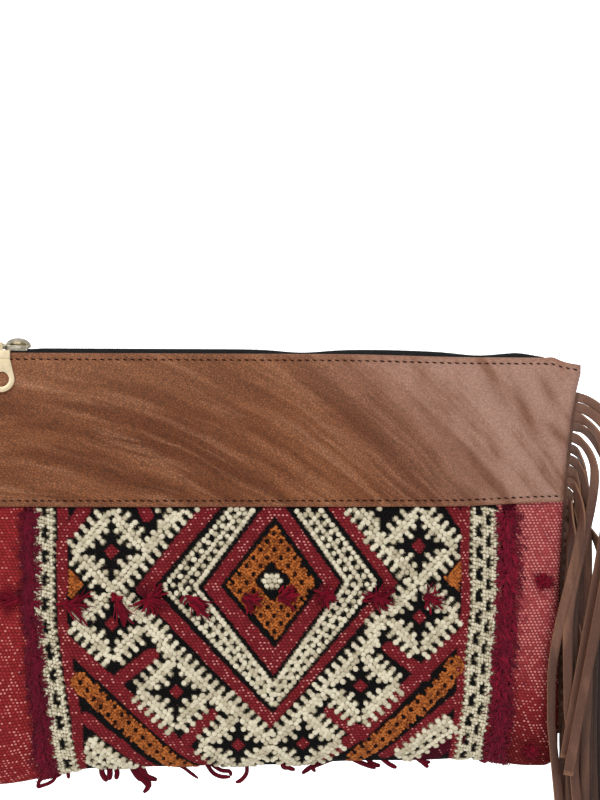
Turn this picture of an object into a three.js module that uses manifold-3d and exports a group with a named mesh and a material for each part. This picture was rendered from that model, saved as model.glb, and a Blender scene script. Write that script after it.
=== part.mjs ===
// Fringe clutch bag: a kilim folded into a pocket, a leather band round its mouth, a zip along the
// top and a leather fringe sewn into the right-hand side seam.
// Millimetres, +Z up, the front faces -Y. The origin is on the zip line, at the middle of the top edge.
// "Down" is a distance below the zip line. "Share" runs across the bag, from -1 at the left-hand seam
// to 1 at the right-hand seam.

import * as THREE from "three";
import { mergeVertices } from "three/addons/utils/BufferGeometryUtils.js";
import Module from "manifold-3d";

const wasm = await Module();
wasm.setup();

// Clearance between pieces that touch on the real bag.
const GAP = 0.3;

// Outline of the bag from the front.
const BAG_DROP = 221;
const SEAM_HALF_WIDTH = 154.5;
const CORNER_FLARE = 10.5;
const CORNER_DROP = 8;
const FLARE_LENGTH = 55;
const BOTTOM_CORNER_RADIUS = 14;
const CORNER_DIP = 5;
const CORNER_DROOP = 2;

// Outline of the bag from the side: half its depth along the middle.
const RIM_HALF_DEPTH = 3;
const BELLY_HALF_DEPTH = 20;
const BELLY_DROP = 140;
const RISE_POWER = 0.85;
const FOLD_POWER = 3.2;

// Shape of a level section, which is a lens with blunt tips at the seams.
const SEAM_HALF_DEPTH = 3;
const LENS_POWER = 3.2;
const RIM_SQUARENESS = 9;
const RIM_FADE = 12;
const LENS_ROUND = 0.85;
const ACROSS = 28;

// Walls.
const KILIM_WALL = 2.6;
const LEATHER_WALL = 1.6;
const SEAM_ALLOWANCE = 6;
const INNER_TIP_HALF_DEPTH = 0.6;

// Leather bands, and the kilim that is tucked up behind them.
const BAND_TOP_DROP = 2.5;
const BAND_DROP = 82;
const TUCK = 10;

// Shallow folds pressed into the front: a middle, the reach along and across the fold, and a slant.
const FOLDS = [
  { x: 128, down: 32, along: 26, across: 6, slant: -52, depth: 1.1 },
  { x: 146, down: 52, along: 20, across: 5, slant: -28, depth: 1.3 },
  { x: 92, down: 46, along: 34, across: 9, slant: -40, depth: 0.9 },
  { x: 20, down: 40, along: 44, across: 11, slant: -30, depth: 0.8 },
  { x: -62, down: 36, along: 46, across: 11, slant: -28, depth: 0.8 },
  { x: -118, down: 62, along: 30, across: 9, slant: -22, depth: 0.7 },
];

// Zip: the closed chain of teeth, the two tapes under it, and the dips where the top edge sags.
const ZIP_RIGHT = 148;
const ZIP_LEFT = -149;
const CHAIN_HALF_WIDTH = 2.2;
const CHAIN_HEIGHT = 1.5;
const TAPE = 0.7;
const TAPE_TOP = 1.8;
const TAPE_CLEARANCE = 0.5;
const TAPE_DROP = 14;
const TAPE_TURN_DROP = 3;
const TAPE_STEP_DROP = 8;
const TAPE_SLIT = 0.2;
const TAPE_SPREAD = 1.3;
const ZIP_DIPS = [
  { x: 17, reach: 16, depth: 1.6 },
  { x: 112, reach: 20, depth: 1.5 },
];

// Slider at the closed, left-hand end of the zip.
const SLIDER_X = -133.5;
const SLIDER_LENGTH = 13;
const SLIDER_HALF_WIDTH = 3.8;
const SLIDER_TAIL_HALF_WIDTH = 3.2;
const SLIDER_PLATE = 1.15;
const SLIDER_FLANGE = 1.0;
const SLIDER_FLANGE_DROP = 1.4;
const SLIDER_LOWER_HALF_WIDTH = 1.9;
const SLIDER_LOWER_TOP = 2.85;
const NECK_LENGTH = 1.6;
const NECK_HALF_WIDTH = 0.95;

// Bail: the wire that carries the pull, and the straight pin at its left-hand end.
const BAIL_RADIUS = 0.8;
const PIN_Y = -5.2;
const PIN_Z = 1.2;
const PIN_RIGHT = -140.4;
const PIN_LEFT = -147.2;
const PIN_HEAD_RADIUS = 1.3;

// Pull: a tab with a round hole, hung from a barrel on the pin.
const PULL_X = -141.1;
const PULL_THICK = 1.2;
const PULL_TILT = 6.5;
const BARREL_RADIUS = 1.85;
const BARREL_BORE = BAIL_RADIUS + GAP;
const BARREL_RIGHT = -140.6;
const BARREL_LEFT = -145.6;
const NECK_TOP = 2.8;
const STRAP_BOTTOM = 7.4;
const STRAP_THICK = 0.5;
const TAB_NECK_HALF_WIDTH = 4.35;
const TAB_RADIUS = 6.8;
const TAB_HOLE_RADIUS = 4;
const TAB_CENTRE = 18.2;

// Fringe: one leather strip sewn into the seam, cut into thongs that turn down and hang.
const FRINGE_TOP_DROP = 24;
const FRINGE_BOTTOM_DROP = 204;
const THONGS = 31;
const THONG_WIDTH = 5.3;
const THONG_THICK = 1.3;
const THONG_LENGTH = 200;
const THONG_LENGTH_SPREAD = 8;
const THONG_STEPS = 11;
const HEAD_INSIDE = 4.6;
const HEAD_OUTSIDE = 1.2;
const LEAVING_SLOPE = 0.12;
const REACH_TOP = 31;
const REACH_BOTTOM = 6.5;
const TURN_PER_REACH = 0.82;
const BEND_TWIST = 0.7;
const BEND_LENGTH = 50;
const HANG_TWIST = 0.26;
const SPREAD_LENGTH = 24;
const SWAY_LENGTH = 190;

// The thongs hang in layers, one behind another. Neighbours along the seam go to layers far apart.
const LAYERS = [
  { y: 2.9, sway: 1.6, phase: 0.4 },
  { y: -5.8, sway: 1.5, phase: 2.6 },
  { y: 8.7, sway: 2.0, phase: 1.3 },
  { y: 0, sway: 1.7, phase: 4.4 },
  { y: -2.9, sway: 1.2, phase: 5.4 },
  { y: 5.8, sway: 1.8, phase: 3.3 },
];

// Thongs that fall in front of the others: how far each reaches out, and how it comes back in.
const FRONT_THONGS = [
  { number: 0, y: -11.8, reach: 27, drift: 0, lean: -0.2 },
  { number: 1, y: -14.8, reach: 21, drift: 0, lean: -0.2 },
  { number: 2, y: -11.8, reach: 17, drift: 0, lean: -0.19 },
  { number: 4, y: -8.8, reach: 12, drift: -8, lean: 0 },
  { number: 8, y: -8.8, reach: 6.5, drift: -9, lean: 0.01 },
];

const COLOURS = {
  kilim: { color: 0x8e2a2c, roughness: 0.95, metalness: 0 },
  leather: { color: 0x7a4a33, roughness: 0.62, metalness: 0 },
  zipCloth: { color: 0x17171a, roughness: 0.9, metalness: 0 },
  zipTeeth: { color: 0x1d1d20, roughness: 0.45, metalness: 0 },
  brass: { color: 0xe2d3ae, roughness: 0.28, metalness: 1 },
};

const { degToRad, lerp, smoothstep } = THREE.MathUtils;

// Outline and sections of the bag

function halfWidthAt(down) {
  const flare = CORNER_FLARE * Math.exp(-Math.max(0, down - CORNER_DROP) / FLARE_LENGTH);
  const inCorner = Math.max(0, down - (BAG_DROP - BOTTOM_CORNER_RADIUS));
  const rounded = BOTTOM_CORNER_RADIUS - Math.sqrt(BOTTOM_CORNER_RADIUS ** 2 - inCorner ** 2);
  return SEAM_HALF_WIDTH + flare - rounded;
}

function halfDepthAt(down) {
  if (down <= BELLY_DROP) {
    const rise = Math.sin((Math.PI / 2) * (down / BELLY_DROP) ** RISE_POWER);
    return lerp(RIM_HALF_DEPTH, BELLY_HALF_DEPTH, rise);
  }
  const below = (down - BELLY_DROP) / (BAG_DROP - BELLY_DROP);
  return BELLY_HALF_DEPTH * Math.sqrt(1 - below ** FOLD_POWER);
}

// Half the depth of a lens section: tip at the seams, depth in the middle, squarer near the zip.
function lens(share, down, depth, tip) {
  const power = LENS_POWER + RIM_SQUARENESS * Math.exp(-down / RIM_FADE);
  const swell = (1 - Math.min(1, Math.abs(share)) ** power) ** LENS_ROUND;
  return lerp(Math.min(tip, depth), depth, swell);
}

// Height of a point: the top edge dips to its corners and the bottom corners droop.
function heightAt(share, down) {
  const away = Math.abs(share);
  const dip = CORNER_DIP * smoothstep(away, 0.88, 1) * Math.max(0, 1 - down / (5 * CORNER_DROP));
  const droop = CORNER_DROOP * share ** 2 * smoothstep(down, BELLY_DROP, BAG_DROP);
  return -(down + dip + droop);
}

function foldDepth(x, down) {
  let sum = 0;
  for (const fold of FOLDS) {
    const turn = degToRad(fold.slant);
    const along = (x - fold.x) * Math.cos(turn) - (down - fold.down) * Math.sin(turn);
    const across = (x - fold.x) * Math.sin(turn) + (down - fold.down) * Math.cos(turn);
    sum += fold.depth * Math.exp(-((along / fold.along) ** 2) - (across / fold.across) ** 2);
  }
  return sum;
}

// A closed level section: along the front from left to right, then back along the rear.
// seam, depth and bottom take it in from the skin of the kilim, tip is half its depth at the seams.
function sectionLoop(down, { seam = 0, depth = 0, bottom = 0, tip = SEAM_HALF_DEPTH }) {
  const halfWidth = halfWidthAt(down) - seam;
  const skin = Math.min(halfDepthAt(down), halfDepthAt(down + bottom)) - depth;
  const front = [];
  const rear = [];
  for (let k = 0; k <= ACROSS; k++) {
    const share = Math.sin((Math.PI / 2) * ((2 * k) / ACROSS - 1));
    const x = share * halfWidth;
    const y = lens(share, down, skin, tip);
    const z = heightAt(x / halfWidthAt(down), down);
    front.push(new THREE.Vector3(x, Math.min(foldDepth(x, down) - y, 0), z));
    rear.push(new THREE.Vector3(x, y, z));
  }
  return [...front, ...rear.reverse()];
}

// Solids

// Skins a row of loops with equal counts, and closes both ends. Each end is triangulated as a strip
// between the loop's first half and its second.
function loft(loops) {
  const count = loops[0].length;
  const half = count / 2;
  const index = [];
  for (let row = 0; row < loops.length - 1; row++) {
    for (let k = 0; k < count; k++) {
      const next = (k + 1) % count;
      const [a, b] = [row * count + k, row * count + next];
      index.push(a, b, b + count, a, b + count, a + count);
    }
  }
  const last = (loops.length - 1) * count;
  for (let k = 0; k < half - 1; k++) {
    const [a, b, c, d] = [k, k + 1, count - 2 - k, count - 1 - k];
    index.push(a, c, b, a, d, c);
    index.push(last + a, last + b, last + c, last + a, last + c, last + d);
  }
  const points = loops.flat();
  const made = new THREE.BufferGeometry().setFromPoints(points).setIndex(index);
  return solidOf(made);
}

function solidOf(geometry) {
  const bare = new THREE.BufferGeometry();
  bare.setAttribute("position", geometry.getAttribute("position"));
  bare.setIndex(geometry.getIndex());
  const merged = mergeVertices(bare, 1e-4);
  const triVerts = new Uint32Array(merged.getIndex().array);
  const vertProperties = merged.getAttribute("position").array;
  const made = new wasm.Manifold(new wasm.Mesh({ numProp: 3, vertProperties, triVerts }));
  if (made.volume() > 0) return made;
  return new wasm.Manifold(
    new wasm.Mesh({ numProp: 3, vertProperties, triVerts: triVerts.slice().reverse() }),
  );
}

function placed(geometry, x, y, z) {
  return solidOf(geometry.clone().translate(x, y, z));
}

function union(solids) {
  return solids.reduce((sum, solid) => sum.add(solid));
}

function meshOf(name, solid, look) {
  const { vertProperties, triVerts } = solid.getMesh();
  const geometry = new THREE.BufferGeometry();
  geometry.setAttribute("position", new THREE.BufferAttribute(vertProperties, 3));
  geometry.setIndex(new THREE.BufferAttribute(triVerts, 1));
  geometry.computeVertexNormals();
  const mesh = new THREE.Mesh(geometry, new THREE.MeshStandardMaterial(COLOURS[look]));
  mesh.name = name;
  return mesh;
}

function rows(downs, inset) {
  return loft(downs.map((down) => sectionLoop(down, inset)).reverse());
}

// Kilim pocket: front, bottom fold and back in one wall, open at the top, tucked up behind the bands

function kilimPocket() {
  const skin = [72, 82.4, 92, 106, 124, 142, 160, 177, 190, 200, 208, 214, 218, 220.4];
  const cavity = [60, 82.4, 100, 124, 148, 170, 187, 199, 207, 212, 216, 217.9];
  const outer = rows(skin, {});
  const inside = rows(cavity, {
    seam: SEAM_ALLOWANCE + 0.5,
    depth: KILIM_WALL,
    bottom: KILIM_WALL,
    tip: INNER_TIP_HALF_DEPTH,
  });
  const bandTop = BAND_DROP - 2 * TUCK;
  const clear = { seam: SEAM_ALLOWANCE + GAP, tip: INNER_TIP_HALF_DEPTH };
  const bandRoom = rows([bandTop, BAND_DROP + GAP], { seam: -TUCK, depth: -TUCK }).subtract(
    rows([bandTop - 1, bandTop, 72, BAND_DROP + GAP, BAND_DROP + 1], clear),
  );
  return outer.subtract(inside).subtract(bandRoom).subtract(headSlot());
}

// Leather bands: a ring outside the kilim, parted at the two side seams

function leatherRing() {
  const downs = [BAND_TOP_DROP, 5, 10, 18, 28, 39, 50, 61, 72, BAND_DROP];
  const outer = rows(downs, { depth: -(LEATHER_WALL + GAP) });
  const inner = rows([1, ...downs, BAND_DROP + 1], {
    seam: SEAM_ALLOWANCE,
    depth: -GAP,
    tip: INNER_TIP_HALF_DEPTH,
  });
  return outer.subtract(inner).subtract(headSlot());
}

function leatherBand(ring, side) {
  return ring.trimByPlane([0, side, 0], GAP / 2);
}

// Zip

function zipDip(x) {
  return ZIP_DIPS.reduce((sum, dip) => sum + dip.depth * Math.exp(-(((x - dip.x) / dip.reach) ** 2)), 0);
}

function stations(from, to, count) {
  return Array.from({ length: count + 1 }, (_, k) => lerp(from, to, k / count));
}

function zipChain() {
  const start = SLIDER_X - SLIDER_LENGTH / 2 + NECK_LENGTH + GAP;
  const bevel = 0.4;
  const loops = stations(start, ZIP_RIGHT, 26).map((x) => {
    const top = -zipDip(x);
    const bottom = top - CHAIN_HEIGHT;
    const [inner, outer] = [CHAIN_HALF_WIDTH - bevel, CHAIN_HALF_WIDTH];
    const profile = [
      [-inner, top],
      [-outer, top - bevel],
      [-outer, bottom + bevel],
      [-inner, bottom],
      [inner, bottom],
      [outer, bottom + bevel],
      [outer, top - bevel],
      [inner, top],
    ];
    return profile.map(([y, z]) => new THREE.Vector3(x, y, z));
  });
  return loft(loops);
}

// Inner face of the leather, which the tape lies against.
function leatherInside(x, down) {
  const share = x / (halfWidthAt(down) - SEAM_ALLOWANCE);
  return lens(share, down, halfDepthAt(down) + GAP, INNER_TIP_HALF_DEPTH);
}

function zipTape(side) {
  const neckEnd = SLIDER_X - SLIDER_LENGTH / 2 + NECK_LENGTH + 1;
  const xs = [
    ...stations(ZIP_LEFT, neckEnd, 4),
    ...stations(neckEnd + 3, ZIP_RIGHT - 2, 24),
  ];
  const loops = xs.map((x) => {
    const drop = zipDip(x);
    const slit = x > neckEnd ? TAPE_SLIT : TAPE_SPREAD;
    const pressed = (down) => (side < 0 ? foldDepth(x, down) : 0);
    const face = (down) => leatherInside(x, down) - pressed(down) - TAPE_CLEARANCE;
    const [turn, step, hem] = [TAPE_TURN_DROP + drop, TAPE_STEP_DROP, TAPE_DROP];
    const top = TAPE_TOP + drop;
    const profile = [
      [slit, top],
      [face(turn), top],
      [face(turn), turn],
      [face(step), step],
      [face(hem), hem],
      [face(hem) - TAPE, hem],
      [face(step) - TAPE, step],
      [face(turn) - TAPE, turn],
      [face(turn) - TAPE, top + TAPE],
      [slit, top + TAPE],
    ];
    return profile.map(([y, down]) => new THREE.Vector3(x, side * y, -down));
  });
  return loft(loops);
}

// Slider: an upper plate with flanges round the chain, a lower plate inside the bag, and a neck
// between them where the tapes part

function box(length, width, height) {
  return new THREE.BoxGeometry(length, width, height);
}

function plateShape() {
  const [half, nose, tail] = [SLIDER_LENGTH / 2, SLIDER_HALF_WIDTH, SLIDER_TAIL_HALF_WIDTH];
  const corner = 1.2;
  const shape = new THREE.Shape();
  shape.moveTo(-half + corner, -nose);
  shape.lineTo(half - corner, -tail);
  shape.quadraticCurveTo(half, -tail, half, -tail + corner);
  shape.lineTo(half, tail - corner);
  shape.quadraticCurveTo(half, tail, half - corner, tail);
  shape.lineTo(-half + corner, nose);
  shape.quadraticCurveTo(-half, nose, -half, nose - corner);
  shape.lineTo(-half, -nose + corner);
  shape.quadraticCurveTo(-half, -nose, -half + corner, -nose);
  return shape;
}

// A round wire along a smooth line through the points.
function wire(points, radius, steps) {
  const section = new THREE.Shape().absarc(0, 0, radius, 0, 2 * Math.PI);
  const path = new THREE.CatmullRomCurve3(points, false, "centripetal");
  const settings = { extrudePath: path, steps, curveSegments: 4, bevelEnabled: false };
  return solidOf(new THREE.ExtrudeGeometry(section, settings));
}

function zipSlider() {
  const half = SLIDER_LENGTH / 2;
  const plateBottom = GAP + 0.05;
  const plateTop = plateBottom + SLIDER_PLATE;
  const settings = { depth: SLIDER_PLATE, bevelEnabled: false, curveSegments: 3 };
  const plate = new THREE.ExtrudeGeometry(plateShape(), settings);
  const solids = [placed(plate, SLIDER_X, 0, plateBottom)];
  const flangeTop = plateBottom + SLIDER_PLATE / 2;
  const flangeHeight = flangeTop + SLIDER_FLANGE_DROP;
  for (const side of [-1, 1]) {
    const flange = box(SLIDER_LENGTH - 2.4, SLIDER_FLANGE, flangeHeight);
    const y = side * (CHAIN_HALF_WIDTH + GAP + SLIDER_FLANGE / 2);
    solids.push(placed(flange, SLIDER_X, y, flangeTop - flangeHeight / 2));
  }
  const lower = box(SLIDER_LENGTH, 2 * SLIDER_LOWER_HALF_WIDTH, SLIDER_PLATE);
  solids.push(placed(lower, SLIDER_X, 0, -SLIDER_LOWER_TOP - SLIDER_PLATE / 2));
  const neckHeight = plateTop + SLIDER_LOWER_TOP;
  const neck = box(NECK_LENGTH, 2 * NECK_HALF_WIDTH, neckHeight);
  solids.push(placed(neck, SLIDER_X - half + NECK_LENGTH / 2, 0, plateTop - neckHeight / 2 - 0.2));
  solids.push(bailWire(plateTop));
  solids.push(placed(new THREE.SphereGeometry(PIN_HEAD_RADIUS, 10, 8), PIN_LEFT, PIN_Y, PIN_Z));
  return union(solids);
}

// The bail stands on the tail of the slider, arches over it and bends forward into the pin.
function bailWire(plateTop) {
  const tail = SLIDER_X + SLIDER_LENGTH / 2 - BAIL_RADIUS;
  const crown = 5.6;
  const route = [
    [PIN_LEFT, PIN_Y, PIN_Z],
    [-143.8, PIN_Y, PIN_Z],
    [PIN_RIGHT, PIN_Y, PIN_Z],
    [-139.0, -4.4, 1.35],
    [-138.5, -2.4, 2.4],
    [-137.2, -0.8, 4.5],
    [-134.0, 0, crown],
    [-130.6, 0, crown - 0.3],
    [tail - 0.4, 0, 3.6],
    [tail, 0, plateTop - 0.6],
  ];
  return wire(route.map((p) => new THREE.Vector3(...p)), BAIL_RADIUS, 22);
}

// Pull, modelled about the middle of the pin and hanging straight down

function tabShape() {
  const shape = new THREE.Shape();
  const [neck, radius] = [TAB_NECK_HALF_WIDTH, TAB_RADIUS];
  const spread = degToRad(12);
  shape.moveTo(-neck, -NECK_TOP);
  shape.lineTo(-neck, -STRAP_BOTTOM);
  shape.absarc(0, -TAB_CENTRE, radius, Math.PI - spread, 2 * Math.PI + spread, false);
  shape.lineTo(neck, -STRAP_BOTTOM);
  shape.lineTo(neck, -NECK_TOP);
  shape.closePath();
  const hole = new THREE.Path().absarc(0, -TAB_CENTRE, TAB_HOLE_RADIUS, 0, 2 * Math.PI, true);
  shape.holes.push(hole);
  return shape;
}

// A round bar along X, placed by its two ends.
function barrelRound(radius, left, right) {
  const bar = new THREE.CylinderGeometry(radius, radius, right - left, 20).rotateZ(Math.PI / 2);
  return placed(bar, (left + right) / 2 - PULL_X, 0, 0);
}

function zipPull() {
  const settings = { depth: PULL_THICK, bevelEnabled: false, curveSegments: 12 };
  const tab = new THREE.ExtrudeGeometry(tabShape(), settings).rotateX(Math.PI / 2);
  const plate = placed(tab, 0, PULL_THICK - BARREL_RADIUS, 0);
  const barrelMiddle = (BARREL_LEFT + BARREL_RIGHT) / 2 - PULL_X;
  const tongueDrop = NECK_TOP + 1;
  const tongue = box(BARREL_RIGHT - BARREL_LEFT, PULL_THICK, tongueDrop);
  const tongueY = PULL_THICK / 2 - BARREL_RADIUS;
  const strapDepth = STRAP_THICK + PULL_THICK / 2;
  const strap = box(2 * TAB_NECK_HALF_WIDTH, strapDepth, STRAP_BOTTOM - NECK_TOP);
  const strapY = strapDepth / 2 - BARREL_RADIUS - STRAP_THICK;
  return union([
    plate,
    placed(tongue, barrelMiddle, tongueY, -tongueDrop / 2),
    placed(strap, 0, strapY, -(NECK_TOP + STRAP_BOTTOM) / 2),
    barrelRound(BARREL_RADIUS, BARREL_LEFT, BARREL_RIGHT),
  ]).subtract(barrelRound(BARREL_BORE, BARREL_LEFT - 1, BARREL_RIGHT + 1));
}

// Fringe

// A fixed pick between -1 and 1 for each number, so that the thongs differ a little.
function pick(number) {
  const wave = Math.sin(number * 12.9898 + 4.1414) * 43758.5453;
  return 2 * (wave - Math.floor(wave)) - 1;
}

function seamPoint(down, outwards) {
  return new THREE.Vector3(halfWidthAt(down) + outwards, 0, heightAt(1, down));
}

function seamStrip(topDrop, bottomDrop, inside, outside, thick) {
  const loops = stations(bottomDrop, topDrop, 8).map((down) => {
    const near = seamPoint(down, -inside);
    const far = seamPoint(down, outside);
    const at = (p, y) => new THREE.Vector3(p.x, y, p.z);
    return [at(near, -thick / 2), at(far, -thick / 2), at(far, thick / 2), at(near, thick / 2)];
  });
  return loft(loops);
}

function headSlot() {
  const room = THONG_THICK + 2 * GAP;
  return seamStrip(FRINGE_TOP_DROP - GAP, FRINGE_BOTTOM_DROP + GAP, HEAD_INSIDE + GAP, TUCK, room);
}

// How a thong hangs: in front by its own row, or in the next of the layers.
function hangOf(number) {
  const own = FRONT_THONGS.find((row) => row.number === number);
  if (own) return { sway: 0, phase: 0, ...own };
  const before = FRONT_THONGS.filter((row) => row.number < number).length;
  const place = number - before;
  const share = place / (THONGS - FRONT_THONGS.length - 1);
  const layer = LAYERS[place % LAYERS.length];
  return { drift: 0, lean: 0, reach: lerp(REACH_TOP, REACH_BOTTOM, share), ...layer };
}

// Middle line of a thong: it leaves the seam level, turns down within its reach, and hangs.
function thongLine(number) {
  const hang = hangOf(number);
  const pitch = (FRINGE_BOTTOM_DROP - FRINGE_TOP_DROP) / THONGS;
  const root = seamPoint(FRINGE_TOP_DROP + (number + 0.5) * pitch, HEAD_OUTSIDE - 1);
  const turn = hang.reach * TURN_PER_REACH;
  const length = THONG_LENGTH + THONG_LENGTH_SPREAD * pick(number);
  const line = [];
  let [x, z, before] = [0, 0, 0];
  for (let k = 0; k <= THONG_STEPS; k++) {
    const run = length * (k / THONG_STEPS) ** 1.5;
    const middle = (run + before) / 2;
    const slope = Math.PI / 2 - (Math.PI / 2 - LEAVING_SLOPE) * Math.exp(-middle / turn);
    x += (run - before) * Math.cos(slope);
    z -= (run - before) * Math.sin(slope);
    before = run;
    const hung = smoothstep(run, 0, SPREAD_LENGTH);
    const sway = hang.sway * Math.sin((2 * Math.PI * (root.z + z)) / SWAY_LENGTH + hang.phase);
    const back = hang.drift * smoothstep(run, 18, 125) + hang.lean * Math.max(0, run - 55);
    line.push({ run, at: new THREE.Vector3(root.x + x + hung * sway + back, hang.y * hung, root.z + z) });
  }
  return line;
}

// Turns a thong's face about its own line: edgeways round the bend, then nearly to the front.
function thongTwist(number, run) {
  const bend = BEND_TWIST * Math.sin(Math.PI * Math.min(1, run / BEND_LENGTH)) ** 2;
  return bend + HANG_TWIST * pick(number + 60) * smoothstep(run, BEND_LENGTH / 2, 110);
}

function thong(number) {
  const line = thongLine(number);
  const front = new THREE.Vector3(0, 1, 0);
  const loops = line.map(({ run, at }, k) => {
    const before = line[Math.max(0, k - 1)].at;
    const after = line[Math.min(line.length - 1, k + 1)].at;
    const ahead = after.clone().sub(before).normalize();
    const across = ahead.clone().cross(front).normalize();
    across.applyAxisAngle(ahead, thongTwist(number, run)).multiplyScalar(THONG_WIDTH / 2);
    const through = across.clone().cross(ahead).normalize().multiplyScalar(THONG_THICK / 2);
    const corner = (a, t) => at.clone().addScaledVector(across, a).addScaledVector(through, t);
    return [corner(-1, -1), corner(1, -1), corner(1, 1), corner(-1, 1)];
  });
  return loft(loops);
}

function sideFringe() {
  const head = seamStrip(
    FRINGE_TOP_DROP,
    FRINGE_BOTTOM_DROP,
    HEAD_INSIDE,
    HEAD_OUTSIDE,
    THONG_THICK,
  );
  const thongs = Array.from({ length: THONGS }, (_, number) => thong(number));
  return union([head, ...thongs]);
}

// The bag

function clutchBag() {
  const bag = new THREE.Group();
  const ring = leatherRing();
  bag.add(meshOf("kilim_pocket", kilimPocket(), "kilim"));
  bag.add(meshOf("leather_band_front", leatherBand(ring, -1), "leather"));
  bag.add(meshOf("leather_band_back", leatherBand(ring, 1), "leather"));
  bag.add(meshOf("zip_tape_front", zipTape(-1), "zipCloth"));
  bag.add(meshOf("zip_tape_back", zipTape(1), "zipCloth"));
  bag.add(meshOf("zip_chain", zipChain(), "zipTeeth"));
  bag.add(meshOf("zip_slider", zipSlider(), "brass"));
  bag.add(meshOf("side_fringe", sideFringe(), "leather"));
  const pull = meshOf("zip_pull", zipPull(), "brass");
  pull.position.set(PULL_X, PIN_Y, PIN_Z);
  pull.rotation.x = -degToRad(PULL_TILT);
  bag.add(pull);
  return bag;
}

export default clutchBag();
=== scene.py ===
"""Fringe clutch bag: a kilim pocket under leather bands, with a zip and a fringe of thongs.

Sizes are in millimetres unless a name says otherwise, and "down" is the distance below the zip.
"""

import logging
import math
from dataclasses import dataclass
from enum import Enum
from functools import partial
from typing import Any, Callable, Sequence

import bmesh
import bpy
import numpy as np
from mathutils import Matrix, Vector
from mathutils.kdtree import KDTree


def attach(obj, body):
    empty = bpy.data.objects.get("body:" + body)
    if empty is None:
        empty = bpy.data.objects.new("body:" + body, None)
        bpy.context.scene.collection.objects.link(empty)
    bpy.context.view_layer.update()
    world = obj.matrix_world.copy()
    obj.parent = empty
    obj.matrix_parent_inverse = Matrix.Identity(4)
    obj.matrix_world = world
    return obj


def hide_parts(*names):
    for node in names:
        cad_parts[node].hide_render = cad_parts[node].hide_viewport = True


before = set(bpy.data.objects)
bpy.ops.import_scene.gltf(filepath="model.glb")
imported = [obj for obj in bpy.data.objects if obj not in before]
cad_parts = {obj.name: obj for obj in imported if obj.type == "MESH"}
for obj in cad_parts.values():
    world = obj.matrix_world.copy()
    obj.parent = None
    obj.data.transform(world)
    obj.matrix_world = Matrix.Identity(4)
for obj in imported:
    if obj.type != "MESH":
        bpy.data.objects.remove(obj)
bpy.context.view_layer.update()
MM = 0.001
# Millimetres of cloth to one unit of its UV map
WEAVE_UNIT = 100.0
BAG, PULL = "bag", "pull"
log = logging.getLogger("clutch")

Pair = tuple[float, float]
Triple = tuple[float, float, float]
Rgb = tuple[int, int, int]
Cover = Callable[[np.ndarray, np.ndarray], np.ndarray]


def smoothstep(x: Any, low: float, high: float) -> Any:
    """Rises smoothly from 0 at low to 1 at high."""
    t = np.clip((x - low) / (high - low), 0.0, 1.0)
    return t * t * (3.0 - 2.0 * t)


def bell(x: Any, middle: float, reach: float) -> Any:
    """A bell of height 1 about a middle."""
    return np.exp(-(((x - middle) / reach) ** 2))


def linear(colour: Rgb) -> tuple[float, ...]:
    """Turns a colour of 0 to 255 into the renderer's linear red, green, blue and full alpha."""
    parts = [(c / 255 / 12.92) if c < 11 else ((c / 255 + 0.055) / 1.055) ** 2.4 for c in colour]
    return (*parts, 1.0)


class Wire:
    """An output socket that can take part in sums."""

    def __init__(self, graph: "Graph", socket: Any) -> None:
        """Keeps the socket and its graph."""
        self.graph = graph
        self.socket = socket

    def maths(self, operation: str, first: Any, second: Any) -> "Wire":
        """Adds a Math node for one operation on two values."""
        return self.graph.node("ShaderNodeMath", {"operation": operation}, {0: first, 1: second})

    def __add__(self, other: Any) -> "Wire":
        """self + other."""
        return self.maths("ADD", self, other)

    def __sub__(self, other: Any) -> "Wire":
        """self - other."""
        return self.maths("SUBTRACT", self, other)

    def __rsub__(self, other: Any) -> "Wire":
        """other - self."""
        return self.maths("SUBTRACT", other, self)

    def __mul__(self, other: Any) -> "Wire":
        """self * other."""
        return self.maths("MULTIPLY", self, other)

    def __truediv__(self, other: Any) -> "Wire":
        """self / other."""
        return self.maths("DIVIDE", self, other)

    def floor(self) -> "Wire":
        """The whole part."""
        return self.maths("FLOOR", self, 0.0)

    def fract(self) -> "Wire":
        """The part after the point."""
        return self.maths("FRACT", self, 0.0)

    def ramp(self, low: float, high: float, start: float = 0.0, end: float = 1.0) -> "Wire":
        """Maps low to high smoothly onto start to end, held at both ends."""
        sockets = {"Value": self, 1: low, 2: high, 3: start, 4: end}
        return self.graph.node("ShaderNodeMapRange", {"interpolation_type": "SMOOTHSTEP"}, sockets)

    def blend(self, start: float, end: float) -> "Wire":
        """Goes smoothly from start where this is 0 to end where it is 1."""
        return self.ramp(0.0, 1.0, start, end)


class Graph:
    """A node tree that is written as expressions."""

    def __init__(self, tree: Any) -> None:
        """Keeps the tree."""
        self.tree = tree

    def node(self, kind: str, settings: dict, inputs: dict, output: Any = 0) -> Wire:
        """Adds one node.

        Args:
            kind: the node's type.
            settings: its settings, which are set first.
            inputs: values or wires by socket name or number.
            output: name or number of the socket that is returned.

        Returns:
            The chosen output.
        """
        made = self.tree.nodes.new(kind)
        for name, value in settings.items():
            setattr(made, name, value)
        for name, value in inputs.items():
            socket = made.inputs[name]
            if isinstance(value, Wire):
                self.tree.links.new(value.socket, socket)
            else:
                socket.default_value = value
        return Wire(self, made.outputs[output])


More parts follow.
